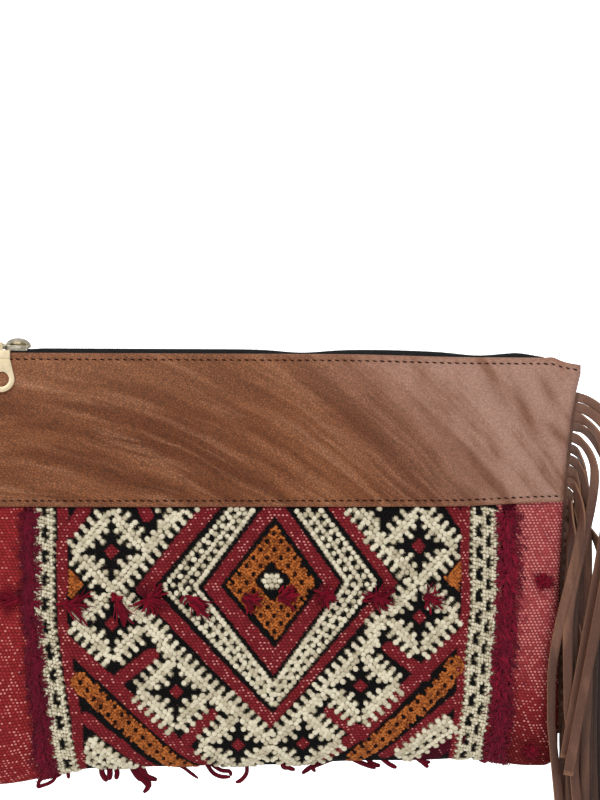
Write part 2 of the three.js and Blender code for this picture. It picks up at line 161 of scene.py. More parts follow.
class Shades(Graph):
    """The nodes of one material round a Principled shader."""

    def __init__(self, name: str) -> None:
        """Makes an empty material with its shader.

        Args:
            name: the material's name.
        """
        self.material = bpy.data.materials.new(name)
        self.material.use_nodes = True
        super().__init__(self.material.node_tree)
        self.shader = self.tree.nodes["Principled BSDF"]

    def place(self) -> tuple[Wire, Wire, Wire]:
        """Object coordinates in millimetres, as three wires."""
        return self.split(self.scaled(self.node("ShaderNodeTexCoord", {}, {}, "Object"), 1 / MM))

    def scaled(self, vector: Wire, factor: float) -> Wire:
        """A vector times a factor."""
        sockets = {0: vector, "Scale": factor}
        return self.node("ShaderNodeVectorMath", {"operation": "SCALE"}, sockets)

    def split(self, vector: Wire) -> tuple[Wire, Wire, Wire]:
        """The three parts of a vector."""
        parts = self.node("ShaderNodeSeparateXYZ", {}, {0: vector}).socket.node
        return tuple(Wire(self, socket) for socket in parts.outputs)

    def join(self, x: Any, y: Any, z: Any) -> Wire:
        """A vector of three parts."""
        return self.node("ShaderNodeCombineXYZ", {}, {0: x, 1: y, 2: z})

    def attribute(self, name: str, output: str = "Fac") -> Wire:
        """An attribute of the mesh."""
        return self.node("ShaderNodeAttribute", {"attribute_name": name}, {}, output)

    def grain(self, at: Sequence[Any], size: Any) -> Wire:
        """A place in units of a grain, whose size is one for all three parts or one for each."""
        return self.join(*(part / by for part, by in zip(at, np.broadcast_to(size, 3).tolist())))

    def noise(self, at: Sequence[Any], size: Any, detail: float = 2.0, rough: float = 0.5) -> Wire:
        """Noise between about 0 and 1.

        Args:
            at: the three parts of a place.
            size: size of the grain.
            detail: how many finer layers it has.
            rough: how strong the finer layers are.

        Returns:
            The noise.
        """
        layers = {"Scale": 1.0, "Detail": detail, "Roughness": rough}
        return self.node("ShaderNodeTexNoise", {}, {"Vector": self.grain(at, size), **layers})

    def pebbles(self, at: Sequence[Any], size: Any) -> Wire:
        """Distance from the creases between packed cells of a size."""
        sockets = {"Vector": self.grain(at, size), "Scale": 1.0}
        return self.node("ShaderNodeTexVoronoi", {"feature": "DISTANCE_TO_EDGE"}, sockets)

    def mix(self, share: Any, first: Any, second: Any, how: str = "MIX") -> Wire:
        """Mixes two colours.

        Args:
            share: how much of the second.
            first: a colour or wire.
            second: a colour or wire.
            how: the blend type.

        Returns:
            The mixed colour.
        """
        settings = {"data_type": "RGBA", "blend_type": how, "clamp_factor": True}
        low, high = (c if isinstance(c, Wire) else linear(c) for c in (first, second))
        return self.node("ShaderNodeMix", settings, {0: share, 6: low, 7: high}, 2)

    def shaded(self, colour: Wire, shade: Wire) -> Wire:
        """A colour times one value."""
        grey = self.node("ShaderNodeCombineColor", {}, {0: shade, 1: shade, 2: shade})
        return self.mix(1.0, colour, grey, "MULTIPLY")

    def bump(self, height: Wire, depth: float, strength: float) -> Wire:
        """A normal from a height, with its depth in millimetres."""
        sockets = {"Strength": strength, "Distance": depth * MM, "Height": height}
        return self.node("ShaderNodeBump", {}, sockets)

    def done(self, colour: Wire, rough: Any, specular: float, more: dict) -> bpy.types.Material:
        """Sets or links the shader's own sockets.

        Args:
            colour: the base colour.
            rough: the roughness.
            specular: strength of the plain reflection.
            more: values or wires by the names of other sockets.

        Returns:
            The material.
        """
        looks = {"Base Color": colour, "Roughness": rough, "Specular IOR Level": specular}
        for name, value in {**looks, **more}.items():
            if isinstance(value, Wire):
                self.tree.links.new(value.socket, self.shader.inputs[name])
            else:
                self.shader.inputs[name].default_value = value
        return self.material


@dataclass(frozen=True)
class BandLeather:
    """Brown pull-up leather of the bands: streaks that fall to the right, over a pebbled grain."""

    mid: Rgb = (155, 94, 57)
    dark: Rgb = (117, 63, 32)
    light: Rgb = (191, 136, 102)
    # Pale pinkish grey of the painted glancing sheen at the upper right
    wear_and_painted_light: Rgb = (190, 149, 133)
    rolled: Rgb = (164, 110, 82)
    fall_slope: float = 0.64
    fall_bend: float = 0.0021
    fall_warp: float = 11.0
    warp_size: float = 42.0
    streak_size: Triple = (13.0, 85.0, 60.0)
    hair_size: Triple = (3.6, 46.0, 40.0)
    broad_size: Triple = (40.0, 75.0, 60.0)
    cloud_size: Triple = (15.0, 15.0, 19.0)
    fibre_size: Triple = (1.4, 1.4, 0.8)
    pebble_size: Triple = (1.15, 1.7, 1.6)
    # Where the painted glancing sheen starts and where it is full, along x + 0.8 z
    painted_sheen_from: float = -14.0
    painted_sheen_to: float = 96.0
    specular: float = 0.24

    def material(self) -> bpy.types.Material:
        """Makes the material.

        Returns:
            The material.
        """
        s = Shades("band_leather")
        x, y, z = s.place()
        warp = s.noise((x, y, z), self.warp_size)
        fall = z + x * self.fall_slope + x * x * self.fall_bend + warp * self.fall_warp
        streak = s.noise((fall, x, y), self.streak_size, 3.0, 0.45)
        hair = s.noise((fall, x, y), self.hair_size)
        broad = s.noise((fall, x, y), self.broad_size)
        cloud = s.noise((x, y, z + x * 0.5), self.cloud_size, 3.0, 0.6)
        fibre = s.noise((x, y, z), self.fibre_size, 3.0, 0.7)
        pebble = s.pebbles((fall, x - z * 0.4, y), self.pebble_size)
        # right: share of the painted glancing sheen towards the upper right, which also pales the
        # streaks and weakens the grain there
        right = (x + z * 0.8).ramp(self.painted_sheen_from, self.painted_sheen_to)
        tone = streak * 0.62 + broad * 0.3 + hair * right.blend(0.2, 0.18)
        tone = tone + right * cloud * 0.55 - right * 0.23
        colour = s.mix(tone.ramp(0.42, 0.66), self.dark, self.mid)
        colour = s.mix(tone.ramp(0.58, 0.80) * 0.75, colour, self.light)
        colour = s.mix(hair.ramp(0.52, 0.74) * right.blend(0.34, 0.2), colour, self.light)
        colour = s.mix(z.ramp(-44.0, -4.0) * 0.2, colour, self.light)
        # Painted glancing sheen: pale pinkish grey over the upper right
        colour = s.mix(right * tone.ramp(0.42, 0.66, 0.35, 0.85), colour, self.wear_and_painted_light)
        colour = s.mix(s.attribute("edge") * 0.4, colour, self.rolled)
        # Painted shade in the pressed creases, stronger towards the right
        colour = s.mix(s.attribute("press") * right.blend(0.36, 0.6), colour, self.dark)
        crease = pebble.ramp(0.0, 0.28) * right.blend(0.6, 0.32) + right.blend(0.52, 0.76)
        colour = s.shaded(colour, fibre.ramp(0.3, 0.7, 0.83, 1.13) * crease)
        normal = s.bump(pebble.ramp(0.0, 0.35) * 0.8 + fibre * 0.4, 0.3, 0.7)
        rough = streak.ramp(0.3, 0.7, 0.62, 0.52)
        return s.done(colour, rough, self.specular, {"Normal": normal})


@dataclass(frozen=True)
class ThongLeather:
    """Thin, darker leather of the fringe, lighter where it hangs high, with tan cut edges."""

    mid: Rgb = (101, 66, 52)
    dark: Rgb = (42, 29, 27)
    light: Rgb = (150, 106, 82)
    cut: Rgb = (186, 136, 102)
    upper_tone: Rgb = (158, 122, 104)
    patch_size: Triple = (9.0, 9.0, 34.0)
    fibre_size: Triple = (0.7, 0.7, 1.6)
    upper_tone_heights: Pair = (-95.0, -35.0)
    roughness: float = 0.62
    specular: float = 0.35

    def material(self) -> bpy.types.Material:
        """Makes the material.

        Returns:
            The material.
        """
        s = Shades("fringe_leather")
        x, y, z = s.place()
        shade = s.attribute("shade")
        patch = s.noise((x, y, z), self.patch_size)
        fibre = s.noise((x, y, z), self.fibre_size, 3.0, 0.7)
        # Painted shade: thongs that hang further back are darker, with a random tone on top
        colour = s.mix(shade, self.dark, self.mid)
        colour = s.mix(patch.ramp(0.45, 0.75) * shade * 0.7, colour, self.light)
        # Lighter towards the top
        colour = s.mix(z.ramp(*self.upper_tone_heights) * 0.4, colour, self.upper_tone)
        colour = s.mix(s.attribute("edge").ramp(0.35, 1.0) * 0.5, colour, self.cut)
        colour = s.shaded(colour, fibre.ramp(0.25, 0.75, 0.8, 1.15))
        normal = s.bump(fibre, 0.18, 0.5)
        return s.done(colour, self.roughness, self.specular, {"Normal": normal})


@dataclass(frozen=True)
class KilimWeave:
    """The ground weave: small packed slubs in the yarns' own colours, with pale flecks of warp."""

    slub_length: float = 2.1
    slub_height: float = 1.55
    row_shift: float = 0.36
    fleck: Rgb = (236, 166, 156)
    wander_size: float = 9.0
    fibre_size: Triple = (1.1, 0.45, 1.0)
    cloud_size: Triple = (16.0, 11.0, 1.0)
    twill_size: Triple = (2.4, 30.0, 1.0)
    roughness: float = 0.92
    specular: float = 0.12

    def material(self) -> bpy.types.Material:
        """Makes the material.

        Returns:
            The material.
        """
        s = Shades("kilim_weave")
        u, v, _ = s.split(s.scaled(s.node("ShaderNodeUVMap", {"uv_map": "weave"}, {}), WEAVE_UNIT))
        wander = s.noise((u, v, 0.0), self.wander_size, 1.0)
        u, v = u + wander * 1.6, v + wander * 1.1
        row = (v / self.slub_height).floor()
        column = u / self.slub_length - row * self.row_shift
        across, up = column.fract() - 0.5, (v / self.slub_height).fract() - 0.5
        slub = (1.0 - across * across * 3.4 - up * up * 3.6).ramp(0.0, 1.0)
        cell = {"Vector": s.join(column.floor(), row, 0.0)}
        pick = s.node("ShaderNodeTexWhiteNoise", {"noise_dimensions": "2D"}, cell)
        fibre = s.noise((u, v, 0.0), self.fibre_size, 2.0, 0.7)
        # Painted shade: each slub darkens towards its edges, with a random tone per slub
        shade = slub.ramp(0.0, 0.9, 0.58, 1.08) * pick.blend(0.86, 1.14)
        tint = s.attribute("tint", "Color")
        colour = s.shaded(tint, shade * fibre.ramp(0.3, 0.7, 0.85, 1.12))
        spot = 1.0 - across * across * 7.5 - up * up * 8.0
        cloud = s.noise((u, v, 3.0), self.cloud_size)
        twill = s.noise((u * 0.9 - v * 0.44, u * 0.44 + v * 0.9, 7.0), self.twill_size, 1.0)
        chance = s.attribute("fleck") * cloud.ramp(0.3, 0.7, 0.65, 1.25)
        chance = chance * twill.ramp(0.38, 0.62, 0.5, 1.35)
        seen = (pick + chance - 1.0).ramp(-0.05, 0.25) * spot.ramp(0.15, 0.8)
        colour = s.mix(seen * 0.8, colour, self.fleck)
        normal = s.bump(slub + fibre * 0.25, 0.55, 0.8)
        return s.done(colour, self.roughness, self.specular, {"Normal": normal})


@dataclass(frozen=True)
class YarnFinish:
    """Wool yarn whose tone changes a little from knot to knot."""

    name: str
    light: Rgb
    dark: Rgb
    sheen: float = 0.15
    fibre_size: float = 0.55
    soil_size: float = 14.0
    roughness: float = 0.9
    specular: float = 0.12

    def material(self) -> bpy.types.Material:
        """Makes the material.

        Returns:
            The material.
        """
        s = Shades(self.name)
        at = s.place()
        fibre = s.noise(at, self.fibre_size, 3.0, 0.7)
        soil = s.noise(at, self.soil_size)
        tone = (s.attribute("tone") * 0.55 + fibre * 0.35 + soil * 0.45).ramp(0.25, 0.95)
        colour = s.mix(tone, self.dark, self.light)
        more = {"Normal": s.bump(fibre, 0.3, 0.6), "Sheen Weight": self.sheen}
        return s.done(colour, self.roughness, self.specular, more)


@dataclass(frozen=True)
class ZipCloth:
    """Black twill of the zip tapes."""

    base: Rgb = (20, 20, 21)
    high: Rgb = (58, 58, 58)
    rib_pitch: float = 0.7
    fluff_size: float = 0.5
    roughness: float = 0.85
    specular: float = 0.2

    def material(self) -> bpy.types.Material:
        """Makes the material.

        Returns:
            The material.
        """
        s = Shades("zip_cloth")
        x, y, z = s.place()
        rib = ((x + z) / self.rib_pitch).fract() - 0.5
        rise = (1.0 - rib * rib * 4.0).ramp(0.0, 1.0)
        fluff = s.noise((x, y, z), self.fluff_size)
        # Painted highlight along the crests of the ribs
        colour = s.mix(rise * fluff.ramp(0.3, 0.8), self.base, self.high)
        return s.done(colour, self.roughness, self.specular, {"Normal": s.bump(rise, 0.15, 0.7)})


@dataclass(frozen=True)
class SmoothTrim:
    """A smooth hard or waxed finish: nylon teeth, waxed thread or plated metal."""

    name: str
    base: Rgb
    wear_and_painted_light: Rgb
    metallic: float
    roughness: float
    shine: float = 0.5
    rub_size: float = 3.0
    hair_size: Triple = (0.25, 0.25, 2.2)

    def material(self) -> bpy.types.Material:
        """Makes the material.

        Returns:
            The material.
        """
        s = Shades(self.name)
        at = s.place()
        rub = s.noise(at, self.rub_size, 3.0, 0.6)
        hair = s.noise(at, self.hair_size)
        colour = s.mix(rub.ramp(0.35, 0.75), self.base, self.wear_and_painted_light)
        rough = rub.ramp(0.3, 0.7, self.roughness * 0.8, self.roughness * 1.25)
        more = {"Normal": s.bump(hair, 0.03, 0.35), "Metallic": self.metallic}
        return s.done(colour, rough, self.shine, more)


@dataclass(frozen=True)
class StagePaper:
    """Plain white paper of the floor and backdrop, which glows behind the bag."""

    base: Rgb = (250, 250, 250)
    shade: Rgb = (238, 238, 238)
    unlit: Rgb = (0, 0, 0)
    tooth_size: float = 4.0
    glows: Pair = (150.0, 600.0)
    glow: float = 1.05
    roughness: float = 0.95

    def material(self) -> bpy.types.Material:
        """Makes the material.

        Returns:
            The material.
        """
        s = Shades("stage_paper")
        x, y, z = s.place()
        colour = s.mix(s.noise((x, y, z), self.tooth_size) * 0.05, self.base, self.shade)
        behind = s.mix(y.ramp(*self.glows), self.unlit, self.base)
        more = {"Emission Color": behind, "Emission Strength": self.glow}
        return s.done(colour, self.roughness, 0.0, more)


class Side(Enum):
    """The two faces of the bag, by the sign of y."""

    FRONT = -1
    REAR = 1


@dataclass(frozen=True)
class Fold:
    """A shallow crease in the front leather."""

    x: float
    down: float
    along: float
    across: float
    slant: float
    depth: float

    def press(self, x: np.ndarray, down: np.ndarray) -> np.ndarray:
        """How far the crease presses the leather in.

        Args:
            x: places across.
            down: distance below the zip.

        Returns:
            The depths.
        """
        turn = math.radians(self.slant)
        run = (x - self.x) * math.cos(turn) - (down - self.down) * math.sin(turn)
        over = (x - self.x) * math.sin(turn) + (down - self.down) * math.cos(turn)
        return self.depth * np.exp(-((run / self.along) ** 2) - (over / self.across) ** 2)


FOLDS = (
    Fold(136, 33, 18, 3.4, -66, 1.0),
    Fold(149, 21, 10, 3.2, -60, 0.9),
    Fold(154, 45, 10, 2.8, -42, 1.1),
    Fold(121, 22, 14, 3.6, -58, 0.6),
    Fold(98, 57, 22, 5.0, -56, 0.7),
    Fold(114, 72, 14, 4.2, -52, 0.7),
    Fold(70, 40, 34, 8.0, -44, 0.7),
    Fold(20, 40, 44, 11.0, -33, 0.7),
    Fold(-62, 36, 46, 11.0, -24, 0.7),
    Fold(-118, 62, 30, 9.0, -17, 0.6),
)


@dataclass(frozen=True)
class BagForm:
    """The closed bag's outer form: that of the solids, with softer corners that droop a little."""

    drop: float = 221.0
    seam_half_width: float = 154.5
    corner_flare: float = 12.8
    corner_drop: float = 8.0
    flare_length: float = 55.0
    corner_radius: float = 9.0
    corner_dip: float = 3.8
    right_sag: float = 1.5
    lip: float = 1.5
    corner_droop: float = 2.0
    left_droop: float = 7.0
    right_lift: float = 2.0
    rim_half_depth: float = 3.0
    belly_half_depth: float = 20.0
    belly_drop: float = 140.0
    rise_power: float = 0.85
    fold_power: float = 3.2
    seam_half_depth: float = 3.0
    lens_power: float = 3.2
    rim_squareness: float = 9.0
    rim_fade: float = 12.0
    lens_round: float = 0.85
    edge_round: float = 4.0
    tuck_down: float = 72.0
    dip_shares: Pair = (0.86, 1.0)
    dip_depth: float = 40.0
    sag_shares: Pair = (0.2, 0.68)
    droop_shares: Pair = (0.62, 0.98)
    lift_shares: Pair = (0.0, 0.35)
    lift_ends: Pair = (0.8, 0.93)
    lift_bump: float = 0.7
    bump_place: Pair = (0.72, 0.13)
    lip_place: Pair = (0.905, 0.022)
    lip_depth: float = 9.0

    def half_width(self, down: np.ndarray) -> np.ndarray:
        """Half the width at a distance below the zip.

        Args:
            down: distance below the zip.

        Returns:
            The half widths.
        """
        below = np.maximum(0.0, down - self.corner_drop)
        flare = self.corner_flare * np.exp(-below / self.flare_length)
        into = np.clip(down - (self.drop - self.corner_radius), 0.0, self.corner_radius)
        rounded = self.corner_radius - np.sqrt(self.corner_radius**2 - into**2)
        return self.seam_half_width + flare - rounded

    def half_depth(self, down: np.ndarray) -> np.ndarray:
        """Half the depth in the middle of the bag.

        Args:
            down: distance below the zip.

        Returns:
            The half depths.
        """
        rise = np.clip(down / self.belly_drop, 0.0, 1.0) ** self.rise_power
        swell = self.belly_half_depth - self.rim_half_depth
        upper = self.rim_half_depth + swell * np.sin(math.pi / 2 * rise)
        fall = np.clip((down - self.belly_drop) / (self.drop - self.belly_drop), 0.0, 1.0)
        lower = self.belly_half_depth * np.sqrt(1.0 - fall**self.fold_power)
        return np.where(down <= self.belly_drop, upper, lower)

    def swell(
        self, share: np.ndarray, down: np.ndarray, deep: np.ndarray, tip: float
    ) -> np.ndarray:
        """Half the depth at a share of the half width.

        Args:
            share: place across, from -1 to 1.
            down: distance below the zip.
            deep: half the depth in the middle.
            tip: half the depth at the seams.

        Returns:
            The half depths.
        """
        power = self.lens_power + self.rim_squareness * np.exp(-down / self.rim_fade)
        rise = np.maximum(0.0, 1.0 - np.abs(share) ** power) ** self.lens_round
        thin = np.minimum(tip, deep)
        return thin + (deep - thin) * rise

    def height(self, share: np.ndarray, down: np.ndarray) -> np.ndarray:
        """The z of a point, with the drooping corners.

        Args:
            share: place across, from -1 to 1.
            down: distance below the zip.

        Returns:
            The heights.
        """
        dip = self.corner_dip * smoothstep(np.abs(share), *self.dip_shares)
        dip = dip + self.right_sag * smoothstep(share, *self.sag_shares)
        droop = self.corner_droop * share**2
        droop = droop + self.left_droop * smoothstep(-share, *self.droop_shares)
        lift = smoothstep(share, *self.lift_shares) + self.lift_bump * bell(share, *self.bump_place)
        droop = droop - self.right_lift * lift * (1.0 - smoothstep(share, *self.lift_ends))
        lip = self.lip * bell(share, *self.lip_place) * np.maximum(0.0, 1.0 - down / self.lip_depth)
        dip = dip * np.maximum(0.0, 1.0 - down / self.dip_depth)
        return lip - down - dip - droop * smoothstep(down, self.belly_drop, self.drop)

    def press(self, x: np.ndarray, down: np.ndarray) -> np.ndarray:
        """How far the creases press the front in."""
        return sum(fold.press(x, down) for fold in FOLDS)

    def skin(self, share: np.ndarray, down: np.ndarray, side: Any, proud: Any = 0.0) -> np.ndarray:
        """Points on the bag's face.

        Args:
            share: place across, from -1 to 1.
            down: distance below the zip.
            side: -1 on the front, 1 on the rear.
            proud: distance outside the pocket's own face.

        Returns:
            Points, with x, y and z last.
        """
        half = self.half_width(down)
        x = share * half
        inward = np.clip((1.0 - np.abs(share)) * half / self.edge_round, 0.0, 1.0)
        round_off = np.sqrt(1.0 - (1.0 - inward) ** 2)
        press = self.press(x, down) * (np.asarray(side) < 0)
        deep = self.swell(share, down, self.half_depth(down), self.seam_half_depth) + proud
        deep = np.maximum(deep * round_off - press * round_off, 0.0)
        return np.stack(np.broadcast_arrays(x, side * deep, self.height(share, down)), -1)


# Shares of the half width from a seam inwards, where the columns lie closer
EDGE_STEPS = np.array([0.0, 0.0012, 0.004, 0.009, 0.016, 0.025])


def shares(columns: int) -> np.ndarray:
    """Places across the bag from -1 to 1: even columns, with closer ones at the rounded seams."""
    even = np.linspace(-1 + EDGE_STEPS[-1], 1 - EDGE_STEPS[-1], columns)
    return np.concatenate([-1 + EDGE_STEPS[:-1], even, 1 - EDGE_STEPS[:-1][::-1]])


class ClothMap:
    """Places on the pocket's cloth: x across, and the run from the hidden edge round the bottom."""

    def __init__(self, form: BagForm) -> None:
        """Measures the run down the middle of the front.

        Args:
            form: the bag's form.
        """
        self.form = form
        self.downs = np.linspace(form.tuck_down, form.drop, 3000)
        steps = np.hypot(np.diff(form.half_depth(self.downs)), np.diff(self.downs))
        self.runs = np.concatenate([[0.0], np.cumsum(steps)])
        self.half = float(self.runs[-1])

    def run(self, down: Any) -> Any:
        """The run at a distance below the zip, on the front."""
        beyond = np.maximum(np.asarray(down, float) - self.form.drop, 0.0)
        return np.interp(down, self.downs, self.runs) + beyond

    def down(self, run: np.ndarray) -> np.ndarray:
        """The distance below the zip at a run, on either face."""
        return np.interp(np.minimum(run, 2 * self.half - run), self.runs, self.downs)

    def point(self, x: np.ndarray, run: np.ndarray) -> np.ndarray:
        """The point in space at a place on the cloth.

        Args:
            x: places across.
            run: runs from the hidden edge.

        Returns:
            Points, with x, y and z last.
        """
        down = self.down(run)
        side = np.where(run <= self.half, -1.0, 1.0)
        share = np.clip(x / self.form.half_width(down), -1.0, 1.0)
        return self.form.skin(share, down, side)

    def frame(self, x: np.ndarray, run: np.ndarray) -> tuple[np.ndarray, np.ndarray, np.ndarray]:
        """The outward normal and the two directions along the cloth.

        Args:
            x: places across.
            run: runs from the hidden top edge.

        Returns:
            Unit vectors: normal, along x, and along the run.
        """
        step = 0.6
        over = self.point(x + step, run) - self.point(x - step, run)
        down = self.point(x, run + step) - self.point(x, run - step)
        over = over / np.linalg.norm(over, axis=-1, keepdims=True)
        down = down / np.linalg.norm(down, axis=-1, keepdims=True)
        out = np.cross(down, over)
        return out / np.linalg.norm(out, axis=-1, keepdims=True), over, down


def mesh_piece(name: str, points: np.ndarray, faces: Any, edges: Any = ()) -> bpy.types.Object:
    """Makes a smooth mesh object at the origin.

    Args:
        name: the piece's name.
        points: points in millimetres.
        faces: faces by point number.
        edges: loose edges by point number.

    Returns:
        The object, linked to the scene.
    """
    mesh = bpy.data.meshes.new(name)
    mesh.from_pydata((np.asarray(points) * MM).tolist(), list(edges), list(faces))
    mesh.polygons.foreach_set("use_smooth", [True] * len(mesh.polygons))
    mesh.update()
    piece = bpy.data.objects.new(name, mesh)
    bpy.context.scene.collection.objects.link(piece)
    return piece


def set_values(piece: bpy.types.Object, **values: Any) -> None:
    """Stores attributes on a piece's points.

    Args:
        piece: the object.
        values: by name, one number, vector or colour for each point.
    """
    kinds = {1: ("FLOAT", "value"), 3: ("FLOAT_VECTOR", "vector"), 4: ("FLOAT_COLOR", "color")}
    for name, rows in values.items():
        rows = np.asarray(rows, dtype=np.float32)
        kind, part = kinds[rows[0].size]
        layer = piece.data.attributes.new(name, kind, "POINT")
        layer.data.foreach_set(part, rows.ravel())


def through(points: Any, steps: int) -> np.ndarray:
    """A smooth line through points.

    Args:
        points: the points that it passes.
        steps: pieces between two points.

    Returns:
        Points along the line, with both ends.
    """
    p = np.array([points[0], *points, points[-1]], float)
    path = []
    for k in range(1, len(p) - 2):
        for t in np.linspace(0.0, 1.0, steps, endpoint=False):
            m0, m1 = (p[k + 1] - p[k - 1]) / 2, (p[k + 2] - p[k]) / 2
            a, b = 2 * t**3 - 3 * t**2 + 1, t**3 - 2 * t**2 + t
            path.append(a * p[k] + b * m0 + (1 - a) * p[k + 1] + (t**3 - t**2) * m1)
    return np.array([*path, p[-1]])


def grid_faces(rows: int, columns: int, wrap: bool, flip: bool = False) -> list[tuple[int, ...]]:
    """Quads of a grid of points.

    Args:
        rows: number of rows.
        columns: number of columns.
        wrap: whether the last row joins the first.
        flip: whether the faces turn the other way.

    Returns:
        The quads by point number.
    """
    faces = []
    for r in range(rows if wrap else rows - 1):
        low, high = r * columns, (r + 1) % rows * columns
        for c in range(columns - 1):
            quad = (low + c, high + c, high + c + 1, low + c + 1)
            faces.append(quad[::-1] if flip else quad)
    return faces


def tube_faces(start: int, rings: int, sides: int) -> list[tuple[int, ...]]:
    """Faces of a closed tube.

    Args:
        start: number of its first point.
        rings: how many rings of points it has.
        sides: points in a ring.

    Returns:
        The quads and the two ends, by point number.
    """
    faces = []
    for low in range(start, start + (rings - 1) * sides, sides):
        ring = [(low + n, low + (n + 1) % sides) for n in range(sides)]
        faces += [(a, b, b + sides, a + sides) for a, b in ring]
    end = start + (rings - 1) * sides
    return [*faces, tuple(range(start + sides - 1, start - 1, -1)), tuple(range(end, end + sides))]


def settle(piece: bpy.types.Object, body: str, slot: str, *nodes: str) -> None:
    """Puts a finished piece on its body and hides the nodes that it stands for.

    Args:
        piece: the object.
        body: the body that it rides on.
        slot: the record's material slot; not used.
        nodes: the nodes that it replaces.
    """
    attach(piece, body)
    if nodes:
        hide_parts(*nodes)
    log.info("%s: %d faces on %s", piece.name, len(piece.data.polygons), body)


class GeoTree(Graph):
    """A Geometry Nodes tree with named sizes, made plain once it has been evaluated."""

    def __init__(self, name: str) -> None:
        """Makes the tree with its two geometry sockets.

        Args:
            name: the tree's name.
        """
        super().__init__(bpy.data.node_groups.new(name, "GeometryNodeTree"))
        for way in ("INPUT", "OUTPUT"):
            self.tree.interface.new_socket("Geometry", in_out=way, socket_type="NodeSocketGeometry")
        self.entry = self.tree.nodes.new("NodeGroupInput")
        self.sizes: dict[str, Any] = {}

    def source(self) -> Wire:
        """The geometry that the modifier is given."""
        return Wire(self, self.entry.outputs["Geometry"])

    def size(self, name: str, value: Any) -> Wire:
        """Adds a named input for a size.

        Args:
            name: the input's name.
            value: the size.

        Returns:
            The input's socket.
        """
        kind = "NodeSocketInt" if isinstance(value, int) else "NodeSocketFloat"
        socket = self.tree.interface.new_socket(name, in_out="INPUT", socket_type=kind)
        self.sizes[socket.identifier] = value
        return Wire(self, self.entry.outputs[name])

    def named(self, name: str, kind: str = "FLOAT") -> Wire:
        """An attribute of the given geometry."""
        return self.node("GeometryNodeInputNamedAttribute", {"data_type": kind}, {"Name": name})

    def close(self, made: Wire, material: bpy.types.Material) -> None:
        """Ends the tree: real, smooth geometry with its material.

        Args:
            made: the geometry.
            material: its finish.
        """
        made = self.node("GeometryNodeRealizeInstances", {}, {0: made})
        made = self.node("GeometryNodeSetShadeSmooth", {}, {"Geometry": made})
        made = self.node("GeometryNodeSetMaterial", {}, {"Geometry": made, "Material": material})
        exit_node = self.tree.nodes.new("NodeGroupOutput")
        self.tree.links.new(made.socket, exit_node.inputs["Geometry"])

    def apply(self, piece: bpy.types.Object) -> bpy.types.Object:
        """Runs the tree on a piece and leaves a plain mesh in it.

        Args:
            piece: the object.

        Returns:
            The same object.
        """
        modifier = piece.modifiers.new("made", "NODES")
        modifier.node_group = self.tree
        for identifier, value in self.sizes.items():
            modifier[identifier] = value
        graph = bpy.context.evaluated_depsgraph_get()
        made = bpy.data.meshes.new_from_object(
            piece.evaluated_get(graph), preserve_all_data_layers=True, depsgraph=graph
        )
        piece.modifiers.clear()
        piece.data = made
        return piece


@dataclass
class StudPlaces:
    """Where small rounded studs go, and how each lies."""

    at: np.ndarray
    facing: np.ndarray
    along: np.ndarray
    size: np.ndarray
    tone: np.ndarray


@dataclass(frozen=True)
class Studs:
    """Rounded studs set on points: knots of yarn, stitches and zip teeth."""

    length: float
    width: float
    height: float
    segments: int = 8
    rings: int = 5

    def set_on(
        self, name: str, places: StudPlaces, material: bpy.types.Material
    ) -> bpy.types.Object:
        """Sets the studs.

        Args:
            name: the piece's name.
            places: where they go.
            material: their finish.

        Returns:
            The piece.
        """
        piece = mesh_piece(name, places.at, [])
        looks = {"size": places.size, "tone": places.tone}
        set_values(piece, facing=places.facing, along=places.along, **looks)
        tree = GeoTree(name)
        counts = {"Segments": self.segments, "Rings": self.rings}
        counts = {label: tree.size(label, value) for label, value in counts.items()}
        ball = tree.node("GeometryNodeMeshUVSphere", {}, {**counts, "Radius": 0.5})
        parts = [("Length", self.length), ("Width", self.width), ("Height", self.height)]
        spread = [tree.size(label, value * MM) for label, value in parts]
        scale = tree.node("ShaderNodeCombineXYZ", {}, dict(enumerate(spread)))
        ball = tree.node("GeometryNodeTransform", {}, {"Geometry": ball, "Scale": scale})
        align = "FunctionNodeAlignRotationToVector"
        upright = tree.node(align, {"axis": "Z"}, {"Vector": tree.named("facing", "FLOAT_VECTOR")})
        sockets = {"Rotation": upright, "Vector": tree.named("along", "FLOAT_VECTOR")}
        turned = tree.node(align, {"axis": "X", "pivot_axis": "Z"}, sockets)
        sockets = {"Points": tree.source(), "Instance": ball, "Rotation": turned}
        sockets["Scale"] = tree.named("size")
        tree.close(tree.node("GeometryNodeInstanceOnPoints", {}, sockets), material)
        return tree.apply(piece)


@dataclass(frozen=True)
class Sweep:
    """Round yarn or wire swept along lines whose points carry their own thickness."""

    sides: int = 6

    def along(
        self,
        name: str,
        lines: Sequence[np.ndarray],
        thick: Sequence[np.ndarray],
        tones: Sequence[float],
        material: bpy.types.Material,
    ) -> bpy.types.Object:
        """Sweeps every line.

        Args:
            name: the piece's name.
            lines: points of each line.
            thick: radius at each point of each line.
            tones: one tone for each line.
            material: the finish.

        Returns:
            The piece.
        """
        edges, start = [], 0
        for line in lines:
            edges += [(start + k, start + k + 1) for k in range(len(line) - 1)]
            start += len(line)
        piece = mesh_piece(name, np.concatenate(lines), [], edges)
        tones = np.repeat(tones, [len(line) for line in lines])
        set_values(piece, thick=np.concatenate(thick) * MM, tone=tones)
        tree = GeoTree(name)
        path = tree.node("GeometryNodeMeshToCurve", {}, {0: tree.source()})
        sockets = {"Resolution": tree.size("Sides", self.sides), "Radius": 1.0}
        ring = tree.node("GeometryNodeCurvePrimitiveCircle", {}, sockets)
        sockets = {"Curve": path, "Profile Curve": ring, "Scale": tree.named("thick")}
        tube = tree.node("GeometryNodeCurveToMesh", {}, {**sockets, "Fill Caps": True})
        tree.close(tube, material)
        return tree.apply(piece)


